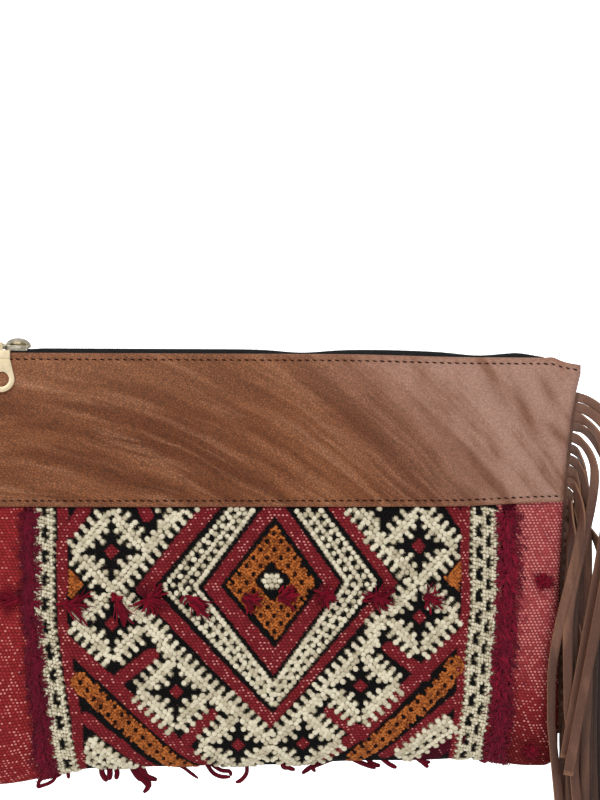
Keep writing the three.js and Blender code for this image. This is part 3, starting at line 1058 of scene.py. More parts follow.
def wool(rng: np.random.Generator, count: int, spread: float = 0.1) -> np.ndarray:
    """Sizes about 1 for hand-tied yarn."""
    return 1.0 + spread * rng.standard_normal(count).clip(-2.0, 2.0)


class Yarn(Enum):
    """Ground colours of the kilim."""

    MARGIN = (162, 46, 50)
    PALE_MARGIN = (194, 84, 87)
    RED = (136, 37, 44)
    BLACK = (17, 15, 16)
    # Darker than the white yarn: painted shade in the gaps between white knots
    CREAM = (176, 164, 136)
    # A darker tone of the ochre yarn: painted shade in the gaps between ochre knots
    OCHRE = (134, 62, 18)
    WINE = (84, 10, 32)


@dataclass(frozen=True)
class Diamond:
    """A four-cornered field of one yarn, with each corner as x and down."""

    yarn: Yarn
    left: Pair
    top: Pair
    right: Pair
    bottom: Pair

    def corners(self, cloth: ClothMap) -> np.ndarray:
        """The corners on the cloth, as x and run.

        Args:
            cloth: the pocket's cloth.

        Returns:
            Four rows of x and run.
        """
        found = np.array([self.left, self.top, self.right, self.bottom], float)
        found[:, 1] = chart_run(cloth, found[:, 1])
        return found

    def covers(
        self, cloth: ClothMap, x: np.ndarray, run: np.ndarray, inset: float = 0.0
    ) -> np.ndarray:
        """Which places lie inside, at least an inset from every side.

        Args:
            cloth: the pocket's cloth.
            x: places across.
            run: runs from the hidden edge.
            inset: least distance from the edges.

        Returns:
            True for each place inside.
        """
        corners = self.corners(cloth)
        inside = np.ones(np.shape(x), bool)
        for k in range(4):
            (ax, ay), (bx, by) = corners[k], corners[(k + 1) % 4]
            length = math.hypot(bx - ax, by - ay)
            inside &= ((bx - ax) * (run - ay) - (by - ay) * (x - ax)) / length > inset
        return inside


@dataclass(frozen=True)
class Stripe:
    """A band of one yarn along a line of places, each as x and down."""

    yarn: Yarn
    width: float
    line: tuple[Pair, ...]
    fleck: float = 0.0

    def track(self, cloth: ClothMap) -> np.ndarray:
        """The line on the cloth, as x and run.

        Args:
            cloth: the pocket's cloth.

        Returns:
            Rows of x and run.
        """
        found = np.array(self.line, float)
        found[:, 1] = chart_run(cloth, found[:, 1])
        return found

    def x_at(self, cloth: ClothMap, run: Any) -> Any:
        """The x of the line at a run."""
        track = self.track(cloth)
        return np.interp(run, track[:, 1], track[:, 0])

    def covers(
        self, cloth: ClothMap, x: np.ndarray, run: np.ndarray, inset: float = 0.0
    ) -> np.ndarray:
        """Which places lie on the band, at least an inset from its edges.

        Args:
            cloth: the pocket's cloth.
            x: places across.
            run: runs from the hidden edge.
            inset: least distance from the edges.

        Returns:
            True for each place on the band.
        """
        track = self.track(cloth)
        near = np.full(np.shape(x), np.inf)
        for (ax, ay), (bx, by) in zip(track[:-1], track[1:]):
            length = math.hypot(bx - ax, by - ay)
            part = np.clip(((x - ax) * (bx - ax) + (run - ay) * (by - ay)) / length**2, 0.0, 1.0)
            away = np.hypot(x - ax - part * (bx - ax), run - ay - part * (by - ay))
            near = np.minimum(near, away)
        return near < self.width / 2 - inset


def chart_run(cloth: ClothMap, down: np.ndarray) -> np.ndarray:
    """The run of a charted place, also above the pocket's hidden edge."""
    return cloth.run(down) + np.minimum(down - cloth.form.tuck_down, 0.0)


OUTER_RED = Diamond(Yarn.RED, (-71, 126.5), (2, 31.5), (65.7, 123.5), (-0.5, 199.2))
WHITE_OUTER = Diamond(Yarn.BLACK, (-58.5, 125), (3.5, 54), (56, 123), (1, 188.5))
WHITE_INNER = Diamond(Yarn.BLACK, (-38, 125), (1.5, 71.5), (38, 123), (0.5, 175.5))
OCHRE_HEART = Diamond(Yarn.BLACK, (-24, 124), (1.5, 92), (24, 123), (2, 153.5))
DARK_HEART = Diamond(Yarn.BLACK, (-9.5, 122), (0, 111.8), (10, 122), (0, 132))
MEDALLION = (
    OUTER_RED,
    Diamond(Yarn.BLACK, (-62, 125.5), (2.5, 48.5), (59.5, 123.5), (0.3, 191.5)),
    WHITE_INNER,
    Diamond(Yarn.RED, (-35.5, 125.5), (1.5, 76), (35.5, 123), (0.8, 171)),
    Diamond(Yarn.BLACK, (-27, 124.5), (1.5, 88), (27, 123), (1.5, 157)),
    OCHRE_HEART,
    DARK_HEART,
)
TURN_LEFT = Stripe(
    Yarn.RED,
    5.4,
    ((-109, 62), (-109, 142), (-107.5, 155), (-105, 173), (-101.5, 194), (-99.5, 224)),
    0.3,
)
TURN_RIGHT = Stripe(
    Yarn.RED,
    4.8,
    ((102.5, 62), (102, 138.5), (100.5, 157), (100, 175.5), (98.5, 197), (97, 226)),
    0.3,
)
OCHRE_LEFT = Stripe(
    Yarn.BLACK, 10.4, ((-99.5, 174), (-84.3, 188.6), (-63.3, 207.6), (-42.5, 221.5))
)
OCHRE_RIGHT = Stripe(Yarn.BLACK, 10.2, ((97, 167), (92, 174.5), (83, 185), (65, 201), (44.5, 218)))
CORNER_LEFT = Stripe(Yarn.BLACK, 8.8, ((-96.5, 205.5), (-89.5, 211), (-78.5, 219), (-69, 223)))
CORNER_RIGHT = Stripe(Yarn.BLACK, 8.8, ((95.5, 198), (85, 205), (76, 212), (67.5, 218)))
# Shift from the corner's line, pitch and tilt of each row of knots
CORNER_ROWS = (
    (-9.3, 2.5, 0.5),
    (-7.0, 5.0, 0.9),
    (-4.6, 2.5, 0.5),
    (-2.3, 5.0, 0.9),
    (0.0, 2.5, 0.5),
    (2.2, 2.5, -0.5),
    (4.4, 4.6, 1.5),
)
STRIPES = (
    Stripe(Yarn.RED, 6.4, ((-70, 76), (-65, 88)), 0.24),
    Stripe(Yarn.RED, 6.8, ((-62.5, 160), (-83, 175.5)), 0.24),
    Stripe(Yarn.RED, 6.8, ((-32, 191.5), (-46.5, 208)), 0.24),
    Stripe(Yarn.RED, 6.8, ((30.5, 192), (47.5, 205)), 0.24),
    Stripe(Yarn.RED, 6.8, ((61.5, 157.5), (80.5, 172.5)), 0.24),
    Stripe(Yarn.RED, 7.2, ((-107, 153.5), (-80, 178), (-47.5, 209.5), (-35, 218.5)), 0.26),
    Stripe(Yarn.RED, 7.2, ((98.5, 152), (77.5, 172.5), (47.5, 204), (26, 217.5)), 0.26),
    OCHRE_LEFT,
    OCHRE_RIGHT,
    Stripe(Yarn.RED, 6.2, ((-97, 192.5), (-88, 200.5), (-79.5, 207), (-60, 221)), 0.24),
    Stripe(Yarn.RED, 6.2, ((97, 187), (87, 195), (69, 210), (60.5, 217)), 0.24),
    Stripe(Yarn.RED, 7.0, ((-94.5, 79), (-105, 96)), 0.2),
    Stripe(Yarn.RED, 6.0, ((92, 78.5), (100.5, 92)), 0.2),
    Stripe(Yarn.WINE, 11.0, ((97.5, 208.5), (88, 215), (77, 223)), 0.1),
    TURN_LEFT,
    TURN_RIGHT,
)
OCHRE_TIPS = (
    Diamond(Yarn.BLACK, (-106, 124), (-105.5, 115), (-97.5, 124), (-105.5, 132)),
    Diamond(Yarn.BLACK, (90.5, 121), (99.5, 112), (99.6, 121), (99, 129.5)),
)
BRAID_LEFT = Stripe(
    Yarn.BLACK,
    10.5,
    ((-117, 62), (-117, 142), (-114, 162.5), (-111, 183.5), (-108, 205), (-103.5, 226)),
)
BRAID_RIGHT = Stripe(
    Yarn.BLACK,
    14.0,
    ((113, 62), (112.5, 138.5), (110, 160), (109, 186.5), (106, 208), (105, 227)),
)
PILE_LEFT = Stripe(
    Yarn.WINE,
    4.8,
    ((-126.5, 80), (-126, 131.5), (-124, 157.5), (-121.5, 183.5), (-119.5, 205), (-117, 224)),
)
PILE_RIGHT = Stripe(
    Yarn.WINE,
    7.8,
    ((126, 80), (125.5, 133.5), (123.5, 160), (122.3, 187), (120.6, 208.5), (119, 224)),
)


@dataclass(frozen=True)
class Braid:
    """An upright braid: lanes of knots with teeth beside them, and open eyes by lane and phase."""

    stripe: Stripe
    lanes: tuple[float, ...]
    eyes: tuple[Pair, ...]
    teeth: Pair
    period: float
    eye: Pair = (2.2, 4.0)
    eye_knot: float = 1.5
    knot_pitch: float = 1.9
    lane_shift: float = 0.4
    tooth_pitch: float = 4.1

    def is_open(self, lane: float, along: float) -> bool:
        """Whether a place lies in one of the eyes.

        Args:
            lane: place across.
            along: place along.

        Returns:
            True in an eye.
        """
        for middle, phase in self.eyes:
            after = ((along / self.period + phase + 0.5) % 1.0 - 0.5) * self.period
            if ((lane - middle) / self.eye[0]) ** 2 + (after / self.eye[1]) ** 2 < 1.0:
                return True
        return False

    def places(self, length: float) -> list[tuple[float, float, float, float]]:
        """Lays out the knots of the lanes, of the teeth, and of the eyes' middles.

        Args:
            length: how long the braid is.

        Returns:
            Lane, place along, angle and size of each knot.
        """
        found = []
        for k, lane in enumerate(self.lanes):
            lean = math.pi / 2 + (0.5 if k % 2 else -0.5)
            steps = np.arange(self.lane_shift * k, length, self.knot_pitch)
            found += [(lane, along, lean, 1.0) for along in steps]
        for lane in self.teeth:
            steps = np.arange(0.0, length, self.tooth_pitch)
            found += [(lane, along, math.pi, 0.7) for along in steps]
        found = [row for row in found if not self.is_open(row[0], row[1])]
        for lane, phase in self.eyes:
            steps = np.arange((1.0 - phase) * self.period, length, self.period)
            found += [(lane + self.eye_knot, along, 0.0, 0.7) for along in steps]
        return found


BRAIDS = (
    Braid(BRAID_LEFT, (-5.0, -3.6, -2.1, -0.6, 0.9, 2.3), ((-0.8, 0.1),), (-6.2, 3.5), 12.2),
    Braid(
        BRAID_RIGHT,
        (-5.7, -4.3, -2.9, -1.45, 0.0, 1.45, 2.9, 4.3, 5.7),
        ((-2.7, 0.0), (2.6, 0.5)),
        (-7.0, 7.0),
        11.4,
    ),
)


@dataclass(frozen=True)
class Motif:
    """A comb-edged square that looks towards the medallion and lends it a length of border."""

    x: float
    down: float
    look_x: int
    look_down: int
    border_from: float = -10.0
    border_to: float = 10.0
    tall: float = 1.0


MOTIFS = (
    Motif(-83.5, 106.5, 1, 1, -6.0, 10.0, 1.13),
    Motif(-83, 144, 1, -1, -6.0, 10.0, 0.97),
    Motif(-50, 179.5, 1, -1),
    Motif(-17.5, 208.5, 1, -1, -10.0, 5.0),
    Motif(16.5, 208.5, -1, -1, -10.0, 5.0),
    Motif(46.5, 178, -1, -1),
    Motif(77.5, 141, -1, -1, -6.0),
    Motif(77.5, 104, -1, 1, -6.0, 10.0, 1.06),
    Motif(-49.5, 69.5, 1, 1),
    Motif(46.5, 68.5, -1, 1),
)


class Knots:
    """Knots of one yarn on the cloth: place, direction and length of each."""

    net_half = 130
    dot_push = 0.4
    ring_length = 0.8

    def __init__(self, cloth: ClothMap) -> None:
        """Starts with none."""
        self.cloth = cloth
        self.rows: list[tuple[float, float, float, float]] = []

    def add(self, x: float, run: float, angle: float, length: float = 1.0) -> None:
        """Ties one knot."""
        self.rows.append((x, run, angle, length))

    def line(
        self,
        start: Any,
        end: Any,
        pitch: float,
        tilt: float = 0.0,
        length: float = 1.0,
        phase: float = 0.5,
    ) -> None:
        """Ties a row of knots between two places.

        Args:
            start: x and run of one end.
            end: x and run of the other.
            pitch: distance between knots.
            tilt: angle of a knot against the row.
            length: length of a knot against the usual.
            phase: where the first knot lies in its pitch.
        """
        way = np.subtract(end, start)
        reach = float(np.hypot(*way))
        count = max(1, round(reach / pitch))
        angle = math.atan2(way[1], way[0]) + tilt
        for k in range(count):
            x, run = np.asarray(start) + way * min(1.0, (k + phase) / count)
            self.add(float(x), float(run), angle, length)

    def fill(self, covers: Cover, hole: Pair, step: Pair, dotted: bool) -> None:
        """Fills a field with small knots on a slanting net, with a dark dot at every fourth place.

        Args:
            covers: which places are in the field.
            hole: x and run of one dot.
            step: how far the net goes across and down from place to place.
            dotted: whether the dots are left open.
        """
        span = self.net_half
        i, j = (number.ravel() for number in np.mgrid[-span : span + 1, -span : span + 1])
        a, b = (i + 1) % 4 - 1, (j + 1) % 4 - 1
        away = np.abs(a) + np.abs(b)
        push = np.where(dotted & (away == 1), self.dot_push, 0.0)
        u, v = i + a * push, j + b * push
        x, run = hole[0] + (u + v) * step[0], hole[1] + (u - v) * step[1]
        for k in np.flatnonzero(covers(x, run) & ~(dotted & (away == 0))):
            ring = dotted and away[k] == 1
            turned = bool(b[k]) if ring else bool(i[k] % 2)
            angle = math.pi / 4 if turned else -math.pi / 4
            self.add(float(x[k]), float(run[k]), angle, self.ring_length if ring else 1.0)

    def kept(self, gap: float, top_down: float, under: float) -> np.ndarray:
        """The knots that show, without those that crowd an earlier one.

        Args:
            gap: least distance between knots.
            top_down: distance below the zip where the leather ends.
            under: how far past the bottom fold the knots go.

        Returns:
            Rows of x, run, angle and length.
        """
        rows = np.array(self.rows)
        low = float(self.cloth.run(top_down))
        rows = rows[(rows[:, 1] > low) & (rows[:, 1] < self.cloth.half + under)]
        keep: list[int] = []
        for k in range(len(rows)):
            near = rows[keep, :2] - rows[k, :2]
            if not keep or (near**2).sum(1).min() > gap * gap:
                keep.append(k)
        return rows[keep]


@dataclass
class Kilim:
    """The pocket of woven cloth, folded at the bottom, with raised knots and wine-red yarn ends."""

    form: BagForm
    columns: int = 320
    rows: int = 169
    thin: int = 4
    unit: float = 2.5
    band_gap: float = 1.35
    motif_gap: float = 1.6
    braid_gap: float = 1.0
    ochre_gap: float = 0.9
    hole_pitch: float = 5.5
    band_rows: int = 5
    eye_down: float = 122.0
    eye_half: Pair = (5.6, 3.6)
    eye_rows: Triple = (-2.5, 0.0, 2.5)
    eye_pitch: float = 2.6
    corner_gap: float = 3.6
    ochre_step: Pair = (0.9, 1.07)
    ochre_dot: Pair = (1.2, 97.1)
    leather_end: float = 84.2
    field_under: float = 9.0
    field_left: float = 5.4
    field_right: float = 7.2
    loose_under: float = 14.0
    fleck_gain: float = 1.3
    medallion_fleck: float = 0.36
    motif_fleck: float = 0.2
    clump_pitch: float = 8.5
    clump_ends: int = 16
    curl_depth: float = -2.4
    curl_thick: float = 1.3
    seed: int = 11

    def __post_init__(self) -> None:
        """Lays out the cloth and its knots."""
        self.cloth = ClothMap(self.form)
        self.rng = np.random.default_rng(self.seed)
        self.white_band = self.tie_band()
        self.white_motifs = self.tie_motifs()
        self.white_braids = self.tie_braids()
        self.ochre = self.tie_ochre()

    def tie_band(self) -> np.ndarray:
        """Knots of the medallion's white band, with its rows of open holes, and of its eye.

        Returns:
            Rows of x, run, angle and length.
        """
        knots = Knots(self.cloth)
        outer, inner = WHITE_OUTER.corners(self.cloth), WHITE_INNER.corners(self.cloth)
        middles = (outer + inner) / 2
        for k in range(4):
            after = (k + 1) % 4
            reach = float(np.hypot(*(middles[after] - middles[k])))
            pitch = reach / max(1, round(reach / self.hole_pitch)) / 2
            for row in range(self.band_rows):
                share = (row + 0.5) / self.band_rows
                start = outer[k] + (inner[k] - outer[k]) * share
                end = outer[after] + (inner[after] - outer[after]) * share
                true = pitch * float(np.hypot(*(end - start))) / reach
                shifted = row == 3 and k in (0, 3)
                if row % 2:
                    knots.line(start, end, 2 * true, 0.9, 0.9, 0.75 if shifted else 0.25)
                else:
                    knots.line(start, end, true, 0.5 if row else -0.4, 1.0, 0.5)
        middle = float(self.cloth.run(self.eye_down))
        for row in self.eye_rows:
            half = self.eye_half[0] * math.sqrt(1.0 - (row / self.eye_half[1]) ** 2)
            knots.line((-half, middle + row), (half, middle + row), self.eye_pitch, 0.5)
        return knots.kept(self.band_gap, self.leather_end, self.field_under)

    def tie_motifs(self) -> np.ndarray:
        """Knots of the comb-edged squares and of the corner bands.

        Returns:
            Rows of x, run, angle and length.
        """
        knots = Knots(self.cloth)
        for motif in MOTIFS:
            self.tie_motif(knots, motif)
        first = len(knots.rows)
        plans = ((CORNER_LEFT, CORNER_ROWS, 1.0), (CORNER_RIGHT, CORNER_ROWS[1:], -1.0))
        for corner, rows, way in plans:
            track = corner.track(self.cloth)
            for shift, pitch, tilt in rows:
                for (ax, ay), (bx, by) in zip(track[:-1], track[1:]):
                    side = np.array([by - ay, ax - bx]) / math.hypot(bx - ax, by - ay) * shift * way
                    knots.line((ax, ay) + side, (bx, by) + side, pitch, tilt)
        edges = [TURN_LEFT.x_at(self.cloth, row[1]) for row in knots.rows[first:]]
        found = zip(knots.rows[first:], edges)
        knots.rows[first:] = [row for row, edge in found if row[0] > edge + self.corner_gap]
        return knots.kept(self.motif_gap, self.leather_end, self.field_under)

    def tie_motif(self, knots: Knots, motif: Motif) -> None:
        """Ties one square: a double chain round it, with rods outwards and inwards.

        Args:
            knots: what the knots go into.
            motif: the square.
        """
        half = self.unit / math.sqrt(2.0)
        middle = np.array([motif.x, float(chart_run(self.cloth, np.array(motif.down)))])
        towards = np.array([motif.look_x, motif.look_down * motif.tall]) * half
        beside = np.array([motif.look_x, -motif.look_down * motif.tall]) * half

        def at(a: float, b: float) -> np.ndarray:
            """A place a units along the border and b units towards the medallion."""
            return middle + beside * a + towards * b

        ring, hole, hole_area, half_chain = 5.0, 4.3, 1.7, 0.48
        root, tip, border_tip = 5.9, 7.8, 7.7
        chains = [((motif.border_from, ring), (motif.border_to, ring))]
        chains += [((side * ring, ring), (side * ring, -ring - 0.6)) for side in (-1, 1)]
        chains += [((-ring, -ring), (ring, -ring))]
        first = len(knots.rows)
        for (a0, b0), (a1, b1) in chains:
            along_a = abs(a1 - a0) > abs(b1 - b0)
            for shift, phase in ((half_chain, 0.25), (-half_chain, 0.75)):
                da, db = (0.0, shift) if along_a else (shift, 0.0)
                start, end = at(a0 + da, b0 + db), at(a1 + da, b1 + db)
                knots.line(start, end, self.unit, 0.6, 1.0, phase)
        holes = np.array([at(a, b) for a in (-hole, hole) for b in (-hole, hole)])
        nearest = [((holes - row[:2]) ** 2).sum(1).min() for row in knots.rows[first:]]
        found = zip(knots.rows[first:], nearest)
        knots.rows[first:] = [row for row, near in found if near > hole_area]
        low, high = motif.border_from, motif.border_to
        rods = [(a, root, a, border_tip) for a in np.arange(low + 0.9, high, 1.95)]
        rods += [(a, hole, a, 3.2) for a in (-8.7, -6.9, 6.9, 8.7) if low < a < high]
        rods += [(a, -root, a, -tip) for a in (-4.9, -2.95, -1.0, 0.95, 2.9, 4.85)]
        for side in (-1, 1):
            rods += [(side * root, b, side * tip, b) for b in (1.6, -0.35, -2.3, -4.25)]
            for near, far in ((0.0, 2.1), (1.9, 2.9), (-1.9, 2.9)):
                rods += [(near, side * 4.1, near, side * far), (side * 4.1, near, side * far, near)]
        for a0, b0, a1, b1 in rods:
            knots.line(at(a0, b0), at(a1, b1), self.unit * 0.95, 0.0, 0.95)

    def tie_braids(self) -> np.ndarray:
        """Knots of the two upright braids, with their open eyes.

        Returns:
            Rows of x, run, angle and length.
        """
        knots = Knots(self.cloth)
        for braid in BRAIDS:
            track = braid.stripe.track(self.cloth)
            marks = np.concatenate([[0.0], np.cumsum(np.hypot(*np.diff(track, axis=0).T))])
            for lane, along, angle, size in braid.places(marks[-1]):
                x, run = (float(np.interp(along, marks, part)) for part in track.T)
                knots.add(x + lane, run, angle, size)
        return knots.kept(self.braid_gap, self.leather_end, self.field_under)

    def tie_ochre(self) -> np.ndarray:
        """Knots of the ochre heart, bands and side tips, with their dark dots.

        Returns:
            Rows of x, run, angle and length.
        """
        knots = Knots(self.cloth)
        cloth = self.cloth

        def heart(x: np.ndarray, run: np.ndarray) -> np.ndarray:
            """The heart's ring round its dark middle."""
            middle = DARK_HEART.covers(cloth, x, run, -0.3)
            return OCHRE_HEART.covers(cloth, x, run, 0.4) & ~middle

        hole = (self.ochre_dot[0], float(cloth.run(self.ochre_dot[1])))
        knots.fill(heart, hole, self.ochre_step, True)
        for band in (OCHRE_LEFT, OCHRE_RIGHT):
            knots.fill(partial(band.covers, cloth, inset=0.4), hole, self.ochre_step, True)
        for tip in OCHRE_TIPS:
            knots.fill(partial(tip.covers, cloth, inset=0.2), hole, self.ochre_step, False)
        return knots.kept(self.ochre_gap, self.leather_end, self.field_under)

    def ground(self, x: np.ndarray, run: np.ndarray) -> tuple[np.ndarray, np.ndarray]:
        """Colours of the woven ground.

        Args:
            x: places across.
            run: runs from the hidden top edge.

        Returns:
            Linear colours, and the chance of a pale fleck.
        """
        cloth = self.cloth
        tint = np.tile(np.array(linear(Yarn.MARGIN.value)), (len(x), 1))
        low, lowest = smoothstep(run, 62.0, 128.0), smoothstep(run, 105.0, 150.0)
        front = 1.0 - smoothstep(run, cloth.half, cloth.half + 14.0)
        fleck = np.where(x > 0, 0.92 - 0.2 * low - 0.4 * lowest, 0.2 + 0.3 * low)
        fleck = fleck * front + 0.28 * (1.0 - front)
        pale = ((x > 0) * (1.0 - low))[:, None]
        tint = tint * (1.0 - pale) + np.array(linear(Yarn.PALE_MARGIN.value)) * pale
        # Painted shade: the front darkens towards the bottom fold, most on the right; the back face
        # is dimmed evenly
        wear_and_painted_light = np.where(x > 0, 1.0 - 0.05 * low - 0.48 * lowest, 0.98 - 0.06 * low)
        tint[:, :3] *= (wear_and_painted_light * front + 0.85 * (1.0 - front))[:, None]

        def paint(where: np.ndarray, yarn: Yarn, chance: float) -> None:
            """Lays one yarn over the places chosen."""
            tint[where] = linear(yarn.value)
            fleck[where] = chance

        field = x > BRAID_LEFT.x_at(cloth, run) - self.field_left
        field &= x < BRAID_RIGHT.x_at(cloth, run) + self.field_right
        field &= run < cloth.half + self.field_under
        paint(field, Yarn.BLACK, 0.0)
        for stripe in STRIPES:
            where = stripe.covers(cloth, x, run) & field
            paint(where, stripe.yarn, stripe.fleck * self.fleck_gain)
        for tip in OCHRE_TIPS:
            paint(tip.covers(cloth, x, run), tip.yarn, 0.0)
        for diamond in MEDALLION:
            chance = self.medallion_fleck if diamond.yarn is Yarn.RED else 0.0
            paint(diamond.covers(cloth, x, run) & field, diamond.yarn, chance)
        for motif in MOTIFS:
            middle = float(chart_run(cloth, np.array(motif.down)))
            away = np.abs(x - motif.x) + np.abs(run - middle) / motif.tall
            paint((away < 1.5 * self.unit) & field, Yarn.RED, self.motif_fleck)
        for pile in (PILE_LEFT, PILE_RIGHT):
            paint(pile.covers(cloth, x, run), Yarn.WINE, 0.0)
        # Under the knots the ground takes a darker tone of their yarn: painted shade between the
        # knots
        for rows, yarn, reach in (
            (self.white_band, Yarn.CREAM, 1.45),
            (self.white_motifs, Yarn.CREAM, 1.5),
            (self.white_braids, Yarn.CREAM, 1.15),
            (self.ochre, Yarn.OCHRE, 0.8),
        ):
            tree = KDTree(len(rows))
            for k, row in enumerate(rows):
                tree.insert((row[0], row[1], 0.0), k)
            tree.balance()
            near = np.array([tree.find((a, b, 0.0))[2] for a, b in zip(x, run)])
            paint(near < reach, yarn, 0.0)
        return tint, fleck

    def build_cloth(self) -> bpy.types.Object:
        """Weaves the pocket as one folded sheet, closed at its side seams.

        Returns:
            The cloth.
        """
        share = shares(self.columns)
        run = np.linspace(0.0, self.cloth.half, self.rows)
        runs = np.concatenate([run, (2 * self.cloth.half - run[:: self.thin])[::-1][1:]])
        side = np.where(runs <= self.cloth.half, -1.0, 1.0)
        points = self.form.skin(share[None, :], self.cloth.down(runs)[:, None], side[:, None])
        count, columns = len(runs), len(share)
        number = np.arange(count * columns).reshape(count, columns)
        for r in range(self.rows, count):
            for c in (0, columns - 1):
                number[r, c] = number[self.rows - 1 - self.thin * (r - self.rows + 1), c]
        used, joined = np.unique(number, return_inverse=True)
        joined = joined.ravel().tolist()
        quads = grid_faces(count, columns, False)
        faces = [tuple(dict.fromkeys(joined[k] for k in quad)) for quad in quads]
        flat = points.reshape(-1, 3)[used]
        cloth = mesh_piece("kilim_cloth", flat, faces)
        x, along = flat[:, 0], np.repeat(runs, columns)[used]
        tint, fleck = self.ground(x, along)
        set_values(cloth, tint=tint, fleck=fleck)
        loops = np.empty(len(cloth.data.loops), dtype=np.int32)
        cloth.data.loops.foreach_get("vertex_index", loops)
        layer = cloth.data.uv_layers.new(name="weave")
        layer.data.foreach_set("uv", np.stack([x[loops], along[loops]], 1).ravel() / WEAVE_UNIT)
        return cloth

    def set_knots(
        self, name: str, rows: np.ndarray, stud: Studs, rise: float, finish: YarnFinish
    ) -> bpy.types.Object:
        """Raises one group of knots on the cloth.

        Args:
            name: the piece's name.
            rows: x, run, angle and length of each knot.
            stud: the knot's size.
            rise: how far a knot's middle stands off the cloth.
            finish: the yarn.

        Returns:
            The piece.
        """
        count = len(rows)
        x = rows[:, 0] + self.rng.normal(0.0, 0.13, count)
        run = rows[:, 1] + self.rng.normal(0.0, 0.13, count)
        angle = rows[:, 2] + self.rng.normal(0.0, 0.22, count)
        out, over, down = self.cloth.frame(x, run)
        at = self.cloth.point(x, run) + out * rise
        along = over * np.cos(angle)[:, None] + down * np.sin(angle)[:, None]
        size = wool(self.rng, count, 0.07) * (0.5 + 0.5 * rows[:, 3])
        places = StudPlaces(at, out, along, size, self.rng.random(count))
        return stud.set_on(name, places, finish.material())

    def yarn_ends(
        self, x: Any, run: Any, angle: Any, length: Any, lift: Any, base: Any, points: int
    ) -> list[np.ndarray]:
        """Yarn ends that lie along the cloth and lift off it.

        Args:
            x: places of their roots across.
            run: places of their roots down the cloth.
            angle: their directions on the cloth.
            length: their lengths.
            lift: how high they rise.
            base: heights of their roots.
            points: points along each.

        Returns:
            The middle line of each.
        """
        given = (x, run, angle, length, lift, base)
        x, run, angle, length, lift, base = (np.asarray(part)[:, None] for part in given)
        t = np.linspace(0.0, 1.0, points)
        bend = angle + self.rng.normal(0.0, 0.45, angle.shape) * t
        px = x + np.cumsum(np.cos(bend), 1) * length / points
        lowest = self.cloth.half + self.loose_under
        pr = np.minimum(run + np.cumsum(np.sin(bend), 1) * length / points, lowest)
        out, _, _ = self.cloth.frame(px, pr)
        rise = base + lift * np.sin(math.pi * t * 0.85)
        return list(self.cloth.point(px, pr) + out * rise[..., None])

    def build_pile(self) -> bpy.types.Object:
        """Makes the two rows of wine-red pile: a soft body, fuzz, and clumps over the braids.

        Returns:
            The piece.
        """
        lines, thick, tones = [], [], []
        uniform, normal = self.rng.uniform, self.rng.normal
        low, high = float(self.cloth.run(self.leather_end + 0.6)), self.cloth.half + 3.0
        body = np.linspace(low, high, PILE_BODY.count)
        fuzz = np.linspace(low, high, PILE_FUZZ.count)
        for stripe, inward in ((PILE_LEFT, 0.0), (PILE_RIGHT, math.pi)):
            way, ends = math.cos(inward), self.clump_ends
            clumps = np.arange(low + 5.0, high, self.clump_pitch)
            clumps = np.repeat(clumps + uniform(-2.5, 2.5, len(clumps)), ends)
            clumps = clumps + normal(0.0, 1.1, len(clumps))
            rows = (
                (PILE_BODY, body, uniform(-0.42, 0.42, len(body)), math.pi / 2),
                (PILE_FUZZ, fuzz, normal(0.0, 0.38, len(fuzz)) - 0.12 * way, math.pi / 2),
                (PILE_CLUMPS, clumps, np.full(len(clumps), 0.35 * way), inward),
            )
            for layer, runs, places, towards in rows:
                count = len(runs)
                wave = np.sin(runs / 5.7 + 2.0 * inward) + 0.6 * np.sin(runs / 2.3 + inward)
                x = stripe.x_at(self.cloth, runs) + places * stripe.width + 0.5 * wave
                angle = towards + normal(0.0, layer.fan, count)
                length, lift = uniform(*layer.length, count), uniform(*layer.lift, count)
                base = uniform(0.1, 0.8, count)
                lines += self.yarn_ends(x, runs, angle, length, lift, base, len(PILE_TAPER))
                thick += list(uniform(*layer.radius, count)[:, None] * PILE_TAPER)
                tones += list(uniform(0.0, 0.7, count) * (1.0 if inward else 0.45))
        return Sweep(4).along("yarn_pile", lines, thick, tones, WINE_YARN.material())

    def build_tufts(self) -> bpy.types.Object:
        """Makes the wine-red tufts across the middle, and the curls below the bottom fold.

        Returns:
            The piece.
        """
        lines, thick, tones = [], [], []
        uniform, normal = self.rng.uniform, self.rng.normal
        for tuft in MIDDLE_TUFTS:
            run = float(self.cloth.run(tuft.down))
            strands = 2 * tuft.count
            parts = (
                (strands, 0.62, 1.0, 0.8 * tuft.fan),
                (strands, 0.27, 1.0, tuft.fan),
                (8, 0.8, 0.26, 180.0),
            )
            for count, width, reach, fan in parts:
                fanned = normal(0.0, 0.5, count).clip(-1.2, 1.2) * fan
                angle = np.radians(tuft.towards + fanned)
                x, runs = tuft.x + normal(0.0, 0.9, count), run + normal(0.0, 0.9, count)
                length = tuft.length * reach * uniform(0.55, 1.1, count)
                lift, base = uniform(0.4, 1.3, count), uniform(0.5, 1.9, count)
                lines += self.yarn_ends(x, runs, angle, length, lift, base, len(TUFT_TAPER))
                radius = tuft.thick * width * uniform(0.85, 1.15, count)
                thick += list(radius[:, None] * TUFT_TAPER)
                tones += list(uniform(0.0, 0.7, count))
        for thickness, curl in CURLS:
            line = through([(x, self.curl_depth, z) for x, z in curl], 6)
            line[:, 1] += 0.8 * np.sin(np.linspace(0.0, 4.0, len(line)) + curl[0][0])
            lines.append(line)
            taper = np.interp(np.linspace(0.0, 1.0, len(line)), [0.0, 0.8, 1.0], [1.0, 1.0, 0.55])
            thick.append(self.curl_thick * thickness * taper)
            tones.append(self.rng.random() * 0.15)
        return Sweep(6).along("yarn_tufts", lines, thick, tones, TUFT_YARN.material())

